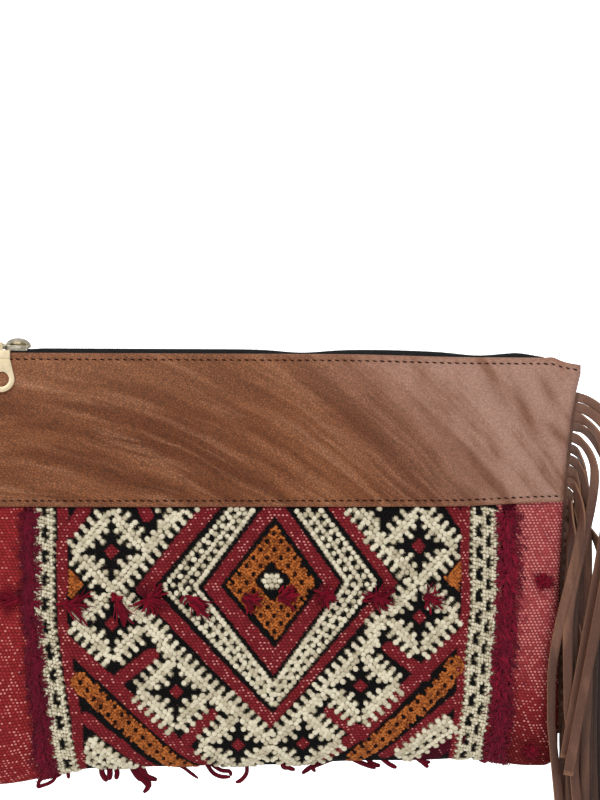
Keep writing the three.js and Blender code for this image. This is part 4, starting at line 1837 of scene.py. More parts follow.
    def build(self) -> tuple[bpy.types.Object, list[bpy.types.Object]]:
        """Makes the cloth with everything raised on it.

        Returns:
            The cloth, and its knots, pile and tufts.
        """
        cloth = self.build_cloth()
        cloth.data.materials.append(KilimWeave().material())
        white, broad = Studs(3.3, 2.8, 2.0), Studs(3.3, 2.9, 2.1)
        fine, small = Studs(2.2, 1.75, 1.5, 7, 5), Studs(2.0, 1.6, 1.1, 6, 5)
        raised = [
            self.set_knots("knots_medallion", self.white_band, white, 0.3, WHITE_YARN),
            self.set_knots("knots_motifs", self.white_motifs, broad, 0.3, WHITE_YARN),
            self.set_knots("knots_braids", self.white_braids, fine, 0.3, WHITE_YARN),
            self.set_knots("knots_ochre", self.ochre, small, 0.15, OCHRE_YARN),
            self.build_pile(),
            self.build_tufts(),
        ]
        settle(cloth, BAG, "kilim", "kilim_pocket")
        for piece in raised:
            settle(piece, BAG, "kilim")
        return cloth, raised


@dataclass(frozen=True)
class PileLayer:
    """One layer of the pile: its ends, and how far they fan, reach, lift and thicken."""

    fan: float
    length: Pair
    lift: Pair
    radius: Pair
    count: int = 0


PILE_BODY = PileLayer(0.25, (5.0, 8.0), (0.1, 0.5), (0.8, 1.1), 260)
PILE_FUZZ = PileLayer(0.9, (2.0, 4.0), (0.5, 1.3), (0.22, 0.34), 1900)
PILE_CLUMPS = PileLayer(0.5, (3.0, 6.0), (0.6, 1.3), (0.3, 0.45))
PILE_TAPER = np.array([0.9, 1.0, 1.0, 0.85, 0.5])
TUFT_TAPER = np.array([1.0, 1.0, 1.0, 1.0, 0.95, 0.88, 0.6])


@dataclass(frozen=True)
class Tuft:
    """A tuft of yarn ends: its place, which way it lies (0 right, 90 down) and how it fans out."""

    x: float
    down: float
    towards: float
    fan: float
    count: int
    length: float
    thick: float = 1.0


WHITE_YARN = YarnFinish("white_yarn", (234, 225, 200), (188, 176, 148))
OCHRE_YARN = YarnFinish("ochre_yarn", (194, 110, 46), (118, 54, 14))
WINE_YARN = YarnFinish("wine_yarn", (148, 22, 50), (84, 11, 33), 0.08)
TUFT_YARN = YarnFinish("tuft_yarn", (140, 12, 38), (74, 4, 22), 0.05)
MIDDLE_TUFTS = (
    Tuft(-131, 131.5, 180, 60, 14, 11, 0.75),
    Tuft(-108, 134, 0, 40, 7, 15),
    Tuft(-81, 131, 58, 30, 6, 14, 1.05),
    Tuft(-64, 130.5, 0, 180, 11, 10, 1.05),
    Tuft(-43.5, 130.5, 32, 28, 6, 14),
    Tuft(-13, 130.5, 35, 65, 9, 8, 0.95),
    Tuft(5, 131, -20, 80, 9, 9),
    Tuft(27.5, 130, 0, 180, 12, 6.5),
    Tuft(54, 130.5, 10, 75, 9, 11),
    Tuft(55, 130.5, 180, 25, 3, 8),
    Tuft(81, 131.5, 0, 95, 9, 9.5),
    Tuft(144.5, 123.5, 0, 180, 22, 5, 0.9),
    Tuft(138.5, 213, 0, 180, 24, 4.6, 0.9),
)
# Thickness of each curl, and the x and z of the places that it passes
CURLS = (
    (
        0.8,
        ((-113.3, -220), (-118, -225), (-121.7, -228), (-122.7, -231))
        + ((-120.6, -230.6), (-116.4, -229), (-113.6, -226.3), (-112.6, -221)),
    ),
    (0.8, ((-107, -219), (-107, -224), (-106.5, -226.7))),
    (1.2, ((-89, -218), (-89.1, -224.3), (-86.5, -228.5))),
    (1.3, ((-86, -218), (-84.9, -223.8), (-85.5, -227.5))),
    (1.1, ((-82.8, -218), (-81.2, -223.8), (-81.8, -227.5))),
    (1.2, ((-73.5, -218), (-69.1, -226), (-64.9, -231), (-67, -234.5))),
    (1.1, ((-71.5, -218), (-66, -225.6), (-60.2, -228.3))),
    (1.1, ((-69.5, -218), (-65.4, -227), (-63.9, -232))),
    (1.3, ((-75, -218), (-71.2, -225), (-67.6, -228.2))),
    (0.8, ((-51, -219), (-45.9, -222), (-42.7, -224.5), (-38.5, -227.5))),
    (0.9, ((-35, -218), (-31.1, -224), (-26.8, -226.5), (-21.5, -227))),
    (0.9, ((-34, -218), (-26.8, -223), (-22, -224), (-21, -226.5))),
    (0.95, ((-13, -217), (-12.5, -223.5), (-13.6, -226.7), (-16.2, -229.2), (-18.4, -229.8))),
    (1.0, ((4, -217), (7.7, -221.4), (13, -223.8))),
    (0.9, ((5.6, -217), (6.6, -222), (9.3, -222.8))),
    (1.1, ((33, -218), (26.4, -220.4), (21, -222.4), (16.8, -225.4))),
    (0.9, ((27.4, -217), (24.2, -220.7), (22.6, -222.8), (23.7, -224.4))),
    (1.1, ((42, -217), (48.8, -220.4), (56.3, -223.2))),
    (1.1, ((58, -216.5), (62.8, -220.6), (67.1, -222.8))),
    (1.0, ((51, -217), (54.2, -220.6), (58.5, -221.8))),
    (1.0, ((76, -216.5), (81.1, -220.2), (84.3, -222.9))),
    (0.9, ((78.9, -216.5), (82.1, -219.8), (85.4, -220.4))),
)


@dataclass
class LeatherBand:
    """One leather band: a wall with rolled edges, pressed in along its two lines of stitches."""

    form: BagForm
    side: Side
    wall: float = 1.6
    gap: float = 0.3
    top: float = 2.5
    bottom: float = 83.4
    top_seam: float = 6.0
    bottom_seam: float = 80.2
    groove: float = 0.4
    puff: float = 0.25
    stitch: Studs = Studs(2.8, 1.0, 0.6, 8, 5)
    stitch_pitch: float = 4.0
    stitch_slant: float = 0.22
    stitch_end: float = 2.5
    right_rise: float = 2.2
    rise_shares: Pair = (0.55, 1.0)
    rise_from: float = 45.0
    edge_wear: float = 2.2
    columns: int = 200
    rows: int = 64

    def raised(self, share: np.ndarray, down: np.ndarray) -> np.ndarray:
        """Where a place of the plain band lies, as its lower edge climbs at the right-hand end."""
        climb = self.right_rise * smoothstep(share, *self.rise_shares)
        return down - climb * smoothstep(down, self.rise_from, self.bottom)

    def outside(self, down: np.ndarray) -> np.ndarray:
        """How proud the outer face stands, with the grooves of the stitches.

        Args:
            down: distance below the zip.

        Returns:
            Distances outside the pocket's face.
        """
        pressed = self.groove * (bell(down, self.top_seam, 0.9) + bell(down, self.bottom_seam, 0.9))
        raised = self.puff * (bell(down, self.top + 1.6, 1.2) + bell(down, self.bottom - 1.2, 1.2))
        return self.gap + self.wall - pressed + raised

    def build(self, finish: bpy.types.Material) -> bpy.types.Object:
        """Makes the wall.

        Args:
            finish: the leather.

        Returns:
            The band.
        """
        radius = self.wall / 2
        high, low, middle = self.top + radius, self.bottom - radius, self.gap + radius
        even = np.linspace(0.0, 1.0, self.rows)
        outer = high + (low - high) * (even - 0.11 * np.sin(2 * math.pi * even))
        turn = np.radians(np.array([60.0, 30.0, 0.0, -30.0, -60.0]))
        out, back = radius * np.sin(turn), radius * np.cos(turn)
        inner = np.linspace(low, high, 9)
        down = np.concatenate([outer, low + back, inner, high - back])
        face, lining = self.outside(outer), np.full(len(inner), self.gap)
        proud = np.concatenate([face, middle + out, lining, middle - out])[:, None]
        share = shares(self.columns)
        places = self.raised(share[None, :], down[:, None])
        points = self.form.skin(share[None, :], places, float(self.side.value), proud)
        faces = grid_faces(len(down), len(share), True, self.side is Side.REAR)
        band = mesh_piece(f"band_{self.side.name.lower()}", points.reshape(-1, 3), faces)
        rim = np.minimum(np.abs(down - self.top), np.abs(self.bottom - down))
        wear_and_painted_light = np.repeat(bell(rim, 0.0, self.edge_wear), len(share))
        x = share[None, :] * self.form.half_width(down)[:, None]
        # Depth of the creases, which the leather's material paints as shade
        press = self.form.press(x, down[:, None]) * (self.side is Side.FRONT)
        set_values(band, edge=wear_and_painted_light, press=np.clip(press, 0.0, 1.5).ravel())
        band.data.materials.append(finish)
        return band

    def stitches(self, rng: np.random.Generator, finish: bpy.types.Material) -> bpy.types.Object:
        """Sews the two lines of stitches.

        Args:
            rng: source of the small differences.
            finish: the thread.

        Returns:
            The stitches.
        """
        at, out, along = [], [], []
        step = 0.8
        for down in (self.top_seam, self.bottom_seam):
            seam = float(self.form.half_width(np.array(down)))
            half = seam - self.stitch_end
            proud = self.outside(np.array(down)) + 0.02
            downs = np.array([down, down, down, down + step])
            for x in np.arange(-half, half, self.stitch_pitch):
                share = np.array([x - step, x, x + step, x]) / seam
                places = self.raised(share, downs)
                p = self.form.skin(share, places, float(self.side.value), proud)
                over, below = p[2] - p[0], p[3] - p[1]
                normal = np.cross(below, over) * -self.side.value
                at.append(p[1])
                out.append(normal / np.linalg.norm(normal))
                slant = self.stitch_slant * below / np.linalg.norm(below)
                along.append(over / np.linalg.norm(over) + slant)
        size, tone = wool(rng, len(at), 0.06), rng.random(len(at))
        places = StudPlaces(np.array(at), np.array(out), np.array(along), size, tone)
        return self.stitch.set_on(f"stitches_{self.side.name.lower()}", places, finish)


# Middle, reach and depth of each sag, then start, end and depth of each step
ZIP_DIPS = ((17.0, 16.0, 1.6), (112.0, 15.0, 1.7))
ZIP_STEPS = ((-127.0, -119.0, -0.4), (55.0, 105.0, 1.0), (130.0, 151.0, 2.6))


def zip_dip(x: Any) -> Any:
    """How far the zip sags below its line, and sinks into the leather at its end."""
    sag = sum(depth * bell(x, middle, reach) for middle, reach, depth in ZIP_DIPS)
    return sag + sum(depth * smoothstep(x, start, end) for start, end, depth in ZIP_STEPS)


@dataclass
class Zip:
    """Two woven tapes and the coil of teeth that joins them."""

    form: BagForm
    left: float = -149.0
    right: float = 147.4
    start: float = -138.1
    tape: float = 0.6
    tape_top: float = 1.1
    tape_drop: float = 14.0
    inner_allowance: float = 6.0
    inner_tip: float = 0.6
    leather_gap: float = 0.3
    clearance: float = 0.55
    columns: int = 240
    slit: float = 0.25
    slit_open: float = 1.3
    tooth: Studs = Studs(3.1, 0.95, 1.2, 8, 6)
    tooth_pitch: float = 1.25
    tooth_shift: float = 0.55
    tooth_slant: float = 0.22
    tooth_down: float = 0.62

    def inside(self, x: np.ndarray, down: np.ndarray, side: Side) -> np.ndarray:
        """Depth of the leather's inner face, which the tape lies against.

        Args:
            x: places across.
            down: distance below the zip.
            side: front or rear.

        Returns:
            The depths.
        """
        share = np.clip(x / (self.form.half_width(down) - self.inner_allowance), -1.0, 1.0)
        deep = self.form.half_depth(down) + self.leather_gap
        press = self.form.press(x, down) if side is Side.FRONT else 0.0
        return self.form.swell(share, down, deep, self.inner_tip) - press - self.clearance

    def build_tape(self, side: Side, finish: bpy.types.Material) -> bpy.types.Object:
        """Makes one tape: a lip beside the teeth that turns down inside the band.

        Args:
            side: front or rear.
            finish: the cloth.

        Returns:
            The tape.
        """
        x = np.linspace(self.left, self.right - 1.4, self.columns)
        drop = zip_dip(x)
        slit = np.where(x > self.start + 0.6, self.slit, self.slit_open)
        turn, step, hem = 3.0 + drop, np.full_like(x, 8.0), np.full_like(x, self.tape_drop)
        top = self.tape_top + drop
        face = [self.inside(x, d, side) for d in (turn, step, hem)]
        outline = [
            (slit, top),
            (slit * 0.4 + (face[0] - 0.35) * 0.6, top - 0.05),
            (face[0] - 0.35, top + 0.05),
            (face[0], top + 0.45),
            (face[0], turn),
            (face[1], step),
            (face[2], hem),
            (face[2] - self.tape, hem),
            (face[1] - self.tape, step),
            (face[0] - self.tape, turn),
            (face[0] - self.tape, top + self.tape),
            (slit, top + self.tape),
        ]
        points = np.stack([np.stack([x, side.value * y, -d], -1) for y, d in outline])
        faces = grid_faces(len(outline), len(x), True, side is Side.REAR)
        count = len(x)
        for end in (0, count - 1):
            cap = tuple(k * count + end for k in range(len(outline)))
            faces.append(cap if (end == 0) == (side is Side.FRONT) else cap[::-1])
        tape = mesh_piece(f"tape_{side.name.lower()}", points.reshape(-1, 3), faces)
        tape.data.materials.append(finish)
        return tape

    def build_coil(self, rng: np.random.Generator, finish: bpy.types.Material) -> bpy.types.Object:
        """Sets the teeth of the coil in two interlocking rows.

        Args:
            rng: source of the small differences.
            finish: the nylon.

        Returns:
            The coil.
        """
        x = np.arange(self.start + 0.6, self.right, self.tooth_pitch / 2)
        count = len(x)
        row = np.where(np.arange(count) % 2, self.tooth_shift, -self.tooth_shift)
        at = np.stack([x, row, -zip_dip(x) - self.tooth_down], -1)
        up = np.tile([0.0, 0.0, 1.0], (count, 1))
        along = np.tile([self.tooth_slant, 1.0, 0.0], (count, 1))
        places = StudPlaces(at, up, along, wool(rng, count, 0.02), rng.random(count))
        return self.tooth.set_on("zip_coil", places, finish)


class Smithy:
    """Collects small metal forms with softened edges into one piece."""

    def __init__(self) -> None:
        """Starts with an empty bench."""
        self.bench = bmesh.new()

    def prism(self, outline: Sequence[Pair], low: float, high: float, soften: float) -> None:
        """Adds an upright prism.

        Args:
            outline: corners as x and y, anticlockwise from above.
            low: its bottom.
            high: its top.
            soften: width of the softened edges.
        """
        form = bmesh.new()
        rings = [[form.verts.new((x, y, z)) for x, y in outline] for z in (low, high)]
        form.faces.new(rings[0][::-1])
        form.faces.new(rings[1])
        count = len(outline)
        for k in range(count):
            after = (k + 1) % count
            form.faces.new((rings[0][k], rings[0][after], rings[1][after], rings[1][k]))
        soft = {"offset": soften, "segments": 3, "profile": 0.5, "affect": "EDGES"}
        bmesh.ops.bevel(form, geom=form.edges[:], **soft)
        self.take(form)

    def box(
        self, x: Sequence[float], y: Sequence[float], z: Sequence[float], soften: float
    ) -> None:
        """Adds a box between two places along each axis."""
        self.prism([(x[0], y[0]), (x[1], y[0]), (x[1], y[1]), (x[0], y[1])], *z, soften)

    def ring(
        self, outer: np.ndarray, hole: np.ndarray, low: float, high: float, soften: float
    ) -> None:
        """Adds a plate with one hole, as a closed band of softened section.

        Args:
            outer: outline as x and y, one point for each ray.
            hole: the hole's edge on the same rays.
            low: its bottom.
            high: its top.
            soften: width of the softened edges.
        """
        way = outer - hole
        way = way / np.linalg.norm(way, axis=1, keepdims=True) * soften
        near, cut = way * 0.3, 0.3 * soften
        upper = [(way, high), (near, high - cut), (way * 0.0, high - soften)]
        lower = [(shift, high + low - z) for shift, z in upper[::-1]]
        section = [(outer - shift, z) for shift, z in upper + lower]
        section += [(hole + shift, z) for shift, z in lower[::-1] + upper[::-1]]
        form = bmesh.new()
        rows = [[form.verts.new((x, y, z)) for x, y in line] for line, z in section]
        count = len(outer)
        for a, b in zip(rows, rows[1:] + rows[:1]):
            for k in range(count):
                after = (k + 1) % count
                form.faces.new((a[k], b[k], b[after], a[after]))
        self.take(form)

    def ball(self, middle: Sequence[float], radius: float) -> None:
        """Adds a ball.

        Args:
            middle: its middle.
            radius: half its width.
        """
        form = bmesh.new()
        bmesh.ops.create_uvsphere(form, u_segments=20, v_segments=12, radius=radius)
        bmesh.ops.translate(form, verts=form.verts, vec=middle)
        self.take(form)

    def wire(
        self, line: Sequence[Triple], radius: float, sides: int = 14, steps: int = 9
    ) -> None:
        """Adds a round wire along a smooth line through points.

        Args:
            line: points that it passes.
            radius: half its thickness.
            sides: facets round it.
            steps: pieces between two points.
        """
        path = through(line, steps)
        form = bmesh.new()
        side = Vector((0.0, 0.0, 1.0))
        rows = []
        for k, at in enumerate(path):
            ahead = Vector(path[min(k + 1, len(path) - 1)] - path[max(k - 1, 0)]).normalized()
            side = (side - ahead * side.dot(ahead)).normalized()
            other = ahead.cross(side)
            turn = [2 * math.pi * n / sides for n in range(sides)]
            around = [(side * math.cos(a) + other * math.sin(a)) * radius for a in turn]
            rows.append([form.verts.new(Vector(at) + away) for away in around])
        for a, b in zip(rows[:-1], rows[1:]):
            for n in range(sides):
                form.faces.new((a[n], a[(n + 1) % sides], b[(n + 1) % sides], b[n]))
        form.faces.new(rows[0][::-1])
        form.faces.new(rows[-1])
        self.take(form)

    def take(self, form: bmesh.types.BMesh) -> None:
        """Lays one form on the bench, facing outwards.

        Args:
            form: the form, which is used up.
        """
        bmesh.ops.recalc_face_normals(form, faces=form.faces)
        mesh = bpy.data.meshes.new("form")
        form.to_mesh(mesh)
        form.free()
        self.bench.from_mesh(mesh)
        bpy.data.meshes.remove(mesh)

    def join(self, other: "Smithy") -> None:
        """Takes over everything from another bench."""
        self.take(other.bench)

    def turn(self, axis: str, degrees: float) -> None:
        """Turns everything on the bench about the origin."""
        matrix = Matrix.Rotation(math.radians(degrees), 3, axis)
        bmesh.ops.rotate(self.bench, verts=self.bench.verts, cent=(0, 0, 0), matrix=matrix)

    def move(self, by: Sequence[float]) -> None:
        """Moves everything on the bench."""
        bmesh.ops.translate(self.bench, verts=self.bench.verts, vec=by)

    def piece(self, name: str, finish: bpy.types.Material) -> bpy.types.Object:
        """Makes the piece.

        Args:
            name: its name.
            finish: the metal.

        Returns:
            The object.
        """
        bmesh.ops.scale(self.bench, verts=self.bench.verts, vec=(MM, MM, MM))
        mesh = bpy.data.meshes.new(name)
        self.bench.to_mesh(mesh)
        self.bench.free()
        mesh.polygons.foreach_set("use_smooth", [True] * len(mesh.polygons))
        mesh.set_sharp_from_angle(angle=math.radians(32.0))
        mesh.materials.append(finish)
        made = bpy.data.objects.new(name, mesh)
        bpy.context.scene.collection.objects.link(made)
        return made


@dataclass
class Slider:
    """The zip's slider at its closed end, with the bail that carries the pull."""

    x: float = -133.5
    length: float = 13.0
    nose: float = 3.8
    tail: float = 3.2
    plate_low: float = 0.35
    plate: float = 1.15
    flange: float = 1.0
    chain_half: float = 2.5
    flange_drop: float = 1.4
    lower_top: float = 2.85
    lower_half: float = 1.9
    bail: float = 0.8
    pin_y: float = -5.2
    pin_z: float = 1.2
    pin_left: float = -147.2
    pin_middle: float = -143.8
    pin_right: float = -140.4
    head: float = 1.3
    corner: float = 1.1
    flange_end: float = 1.2
    neck_length: float = 1.6
    neck_half: float = 0.95
    snout: float = 7.2
    snout_half: float = 2.3
    arch_x: float = 0.35
    arch_z: float = 0.8
    arch_outer: Pair = (6.9, 4.7)
    arch_inner: Pair = (5.1, 2.7)
    arch_half: float = 1.9
    wedge_x: Pair = (-4.2, 4.8)
    wedge: tuple[Pair, ...] = ((-3.1, -0.6), (-3.1, 1.8), (0.3, 1.8), (0.3, 1.3))
    bend: tuple[Triple, ...] = ((-139.4, -4.3, 1.3), (-139.2, -2.6, 1.5), (-139.2, -1.4, 1.7))

    def build(self, finish: bpy.types.Material) -> bpy.types.Object:
        """Makes the slider.

        Args:
            finish: the metal.

        Returns:
            The piece.
        """
        half, top = self.length / 2, self.plate_low + self.plate
        left, right, corner = self.x - half, self.x + half, self.corner
        bench = Smithy()
        narrow = [(right - corner, self.tail), (right, self.tail - corner)]
        wide = [(left + corner, self.nose), (left, self.nose - corner)]
        front = [(x, -y) for x, y in (wide[0], *narrow)]
        plate = [*front, *narrow[::-1], *wide, (wide[1][0], -wide[1][1])]
        bench.prism(plate, self.plate_low, top, 0.3)
        run = (left + self.flange_end, right - self.flange_end)
        for side in (-1, 1):
            wall = sorted((side * self.chain_half, side * (self.chain_half + self.flange)))
            bench.box(run, wall, (-self.flange_drop, self.plate_low + self.plate / 2), 0.22)
        below = (-self.lower_top - self.plate, -self.lower_top)
        bench.box((left, right), (-self.lower_half, self.lower_half), below, 0.22)
        upright = (-self.lower_top - 0.2, top - 0.2)
        neck = (-self.neck_half, self.neck_half)
        bench.box((left, left + self.neck_length), neck, upright, 0.2)
        wedge = Smithy()
        reach = (self.x + place for place in self.wedge_x)
        wedge.prism([(x - top, y) for x, y in self.wedge], *reach, 0.12)
        wedge.turn("Y", 90.0)
        bench.join(wedge)
        snout = (-self.snout_half, self.snout_half)
        bench.box((left - self.snout, left + 0.6), snout, (self.plate_low - 0.7, top + 0.3), 0.3)
        bench.join(self.arch())
        places = (self.pin_left, self.pin_middle, self.pin_right)
        pin = [(x, self.pin_y, self.pin_z) for x in places]
        bench.wire([*pin, *self.bend], self.bail)
        bench.ball(pin[0], self.head)
        return bench.piece("slider", finish)

    def arch(self) -> Smithy:
        """Bends the bail's arch over the plate.

        Returns:
            A bench with the arch.
        """
        turn = np.linspace(0.0, math.pi, 25)
        outline = []
        for (wide, tall), angles in ((self.arch_outer, turn), (self.arch_inner, turn[::-1])):
            x, z = self.x + self.arch_x + wide * np.cos(angles), self.arch_z + tall * np.sin(angles)
            outline += zip(x.tolist(), z.tolist())
        bench = Smithy()
        bench.prism(outline, -self.arch_half, self.arch_half, 0.35)
        bench.turn("X", 90.0)
        return bench


@dataclass
class Pull:
    """The pull: a flat tab with a round hole, under a strap, on a barrel that turns on the pin."""

    pivot: tuple[float, float, float] = (-141.1, -5.2, 1.2)
    tilt: float = -7.3
    thick: float = 1.2
    barrel: float = 1.85
    bore: float = 1.1
    barrel_left: float = -4.5
    barrel_right: float = 0.5
    neck_top: float = 2.8
    tongue_top: float = 1.3
    strap_bottom: float = 7.4
    strap: float = 0.5
    neck: float = 4.35
    radius: float = 6.8
    hole: float = 4.0
    centre: float = 18.2

    def outline(self) -> np.ndarray:
        """The tab's edge about its hole's middle, one point for each ray.

        Returns:
            Rows of x and y.
        """
        rise, low = self.centre - self.neck_top, self.centre - self.strap_bottom
        join = math.radians(12.0)
        turn = np.linspace(math.pi - join, 2 * math.pi + join, 72)
        arc = [(self.radius * math.cos(a), self.radius * math.sin(a)) for a in turn]
        right = [(self.neck, low), (self.neck, (low + rise) / 2), (self.neck, rise)]
        top = [(self.neck * t, rise) for t in (0.6, 0.2, -0.2, -0.6)]
        left = [(-x, y) for x, y in right[::-1]]
        ends = np.array(arc[-1]), np.array(right[0])
        slope = [tuple(ends[0] * (1 - t) + ends[1] * t) for t in (0.25, 0.5, 0.75)]
        return np.array([*arc, *slope, *right, *top, *left, *[(-x, y) for x, y in slope[::-1]]])

    def build(self, finish: bpy.types.Material) -> bpy.types.Object:
        """Makes the pull.

        Args:
            finish: the metal.

        Returns:
            The piece.
        """
        outer = self.outline()
        hole = outer / np.linalg.norm(outer, axis=1, keepdims=True) * self.hole
        bench = Smithy()
        shift = np.array([0.0, -self.centre])
        bench.ring(outer + shift, hole + shift, self.barrel - self.thick, self.barrel, 0.25)
        strap = (-self.strap_bottom, -self.neck_top)
        proud = (self.barrel - self.thick / 2, self.barrel + self.strap)
        bench.box((-self.neck, self.neck), strap, proud, 0.28)
        tongue = (-self.neck_top - 1, -self.tongue_top)
        under = (self.barrel - self.thick, self.barrel - 0.05)
        bench.box((self.barrel_left, self.barrel_right), tongue, under, 0.2)
        bench.turn("X", 90.0)
        turn = np.linspace(0.0, 2 * math.pi, 40, endpoint=False)
        circle = np.stack([np.cos(turn), np.sin(turn)], 1)
        tube = Smithy()
        ends = (self.barrel_left, self.barrel_right)
        tube.ring(circle * self.barrel, circle * self.bore, *ends, 0.22)
        tube.turn("Y", 90.0)
        bench.join(tube)
        bench.turn("X", self.tilt)
        bench.move(self.pivot)
        return bench.piece("pull_tab", finish)


def pick(number: float) -> float:
    """A fixed pick between -1 and 1 for each number."""
    wave = math.sin(number * 12.9898 + 4.1414) * 43758.5453
    return 2 * (wave - math.floor(wave)) - 1


@dataclass(frozen=True)
class Hang:
    """How one thong hangs: its depth, reach from the seam, sway and drift."""

    y: float
    reach: float
    sway: float = 0.0
    phase: float = 0.0
    drift: float = 0.0
    lean: float = 0.0
    lean_from: float = 55.0
    longer: float = 0.0


# Depth y, sway and phase of the thongs that hang in layers
LAYERS = (
    (2.9, 1.6, 0.4),
    (-5.8, 1.5, 2.6),
    (8.7, 2.0, 1.3),
    (0.0, 1.7, 4.4),
    (-2.9, 1.2, 5.4),
    (5.8, 1.8, 3.3),
)
FRONT_THONGS = {
    0: Hang(-11.8, 22, lean=-0.2, longer=12.0),
    1: Hang(-14.8, 20, lean=-0.19, longer=-4.0),
    2: Hang(-11.8, 16, lean=-0.18, longer=-4.0),
    4: Hang(-10.3, 12, drift=-16.5, lean=0.1, lean_from=150.0),
    5: Hang(-2.9, 8.5, 0.5, 1.0),
    6: Hang(-5.8, 9, 0.8, 1.0, lean=-0.02),
    7: Hang(-4.4, 5.0, 0.4, 0.5),
    8: Hang(-10.3, 6.5, drift=-17, lean=0.1, lean_from=132.0),
    9: Hang(-7.4, 2.1, 0.3, 0.5),
    10: Hang(-5.8, 5.6, 1.0, 0.3, lean=-0.02),
    12: Hang(-4.4, 2.2, 0.3, 2.4),
    13: Hang(-2.9, 6.5, 0.8, 2.0),
}


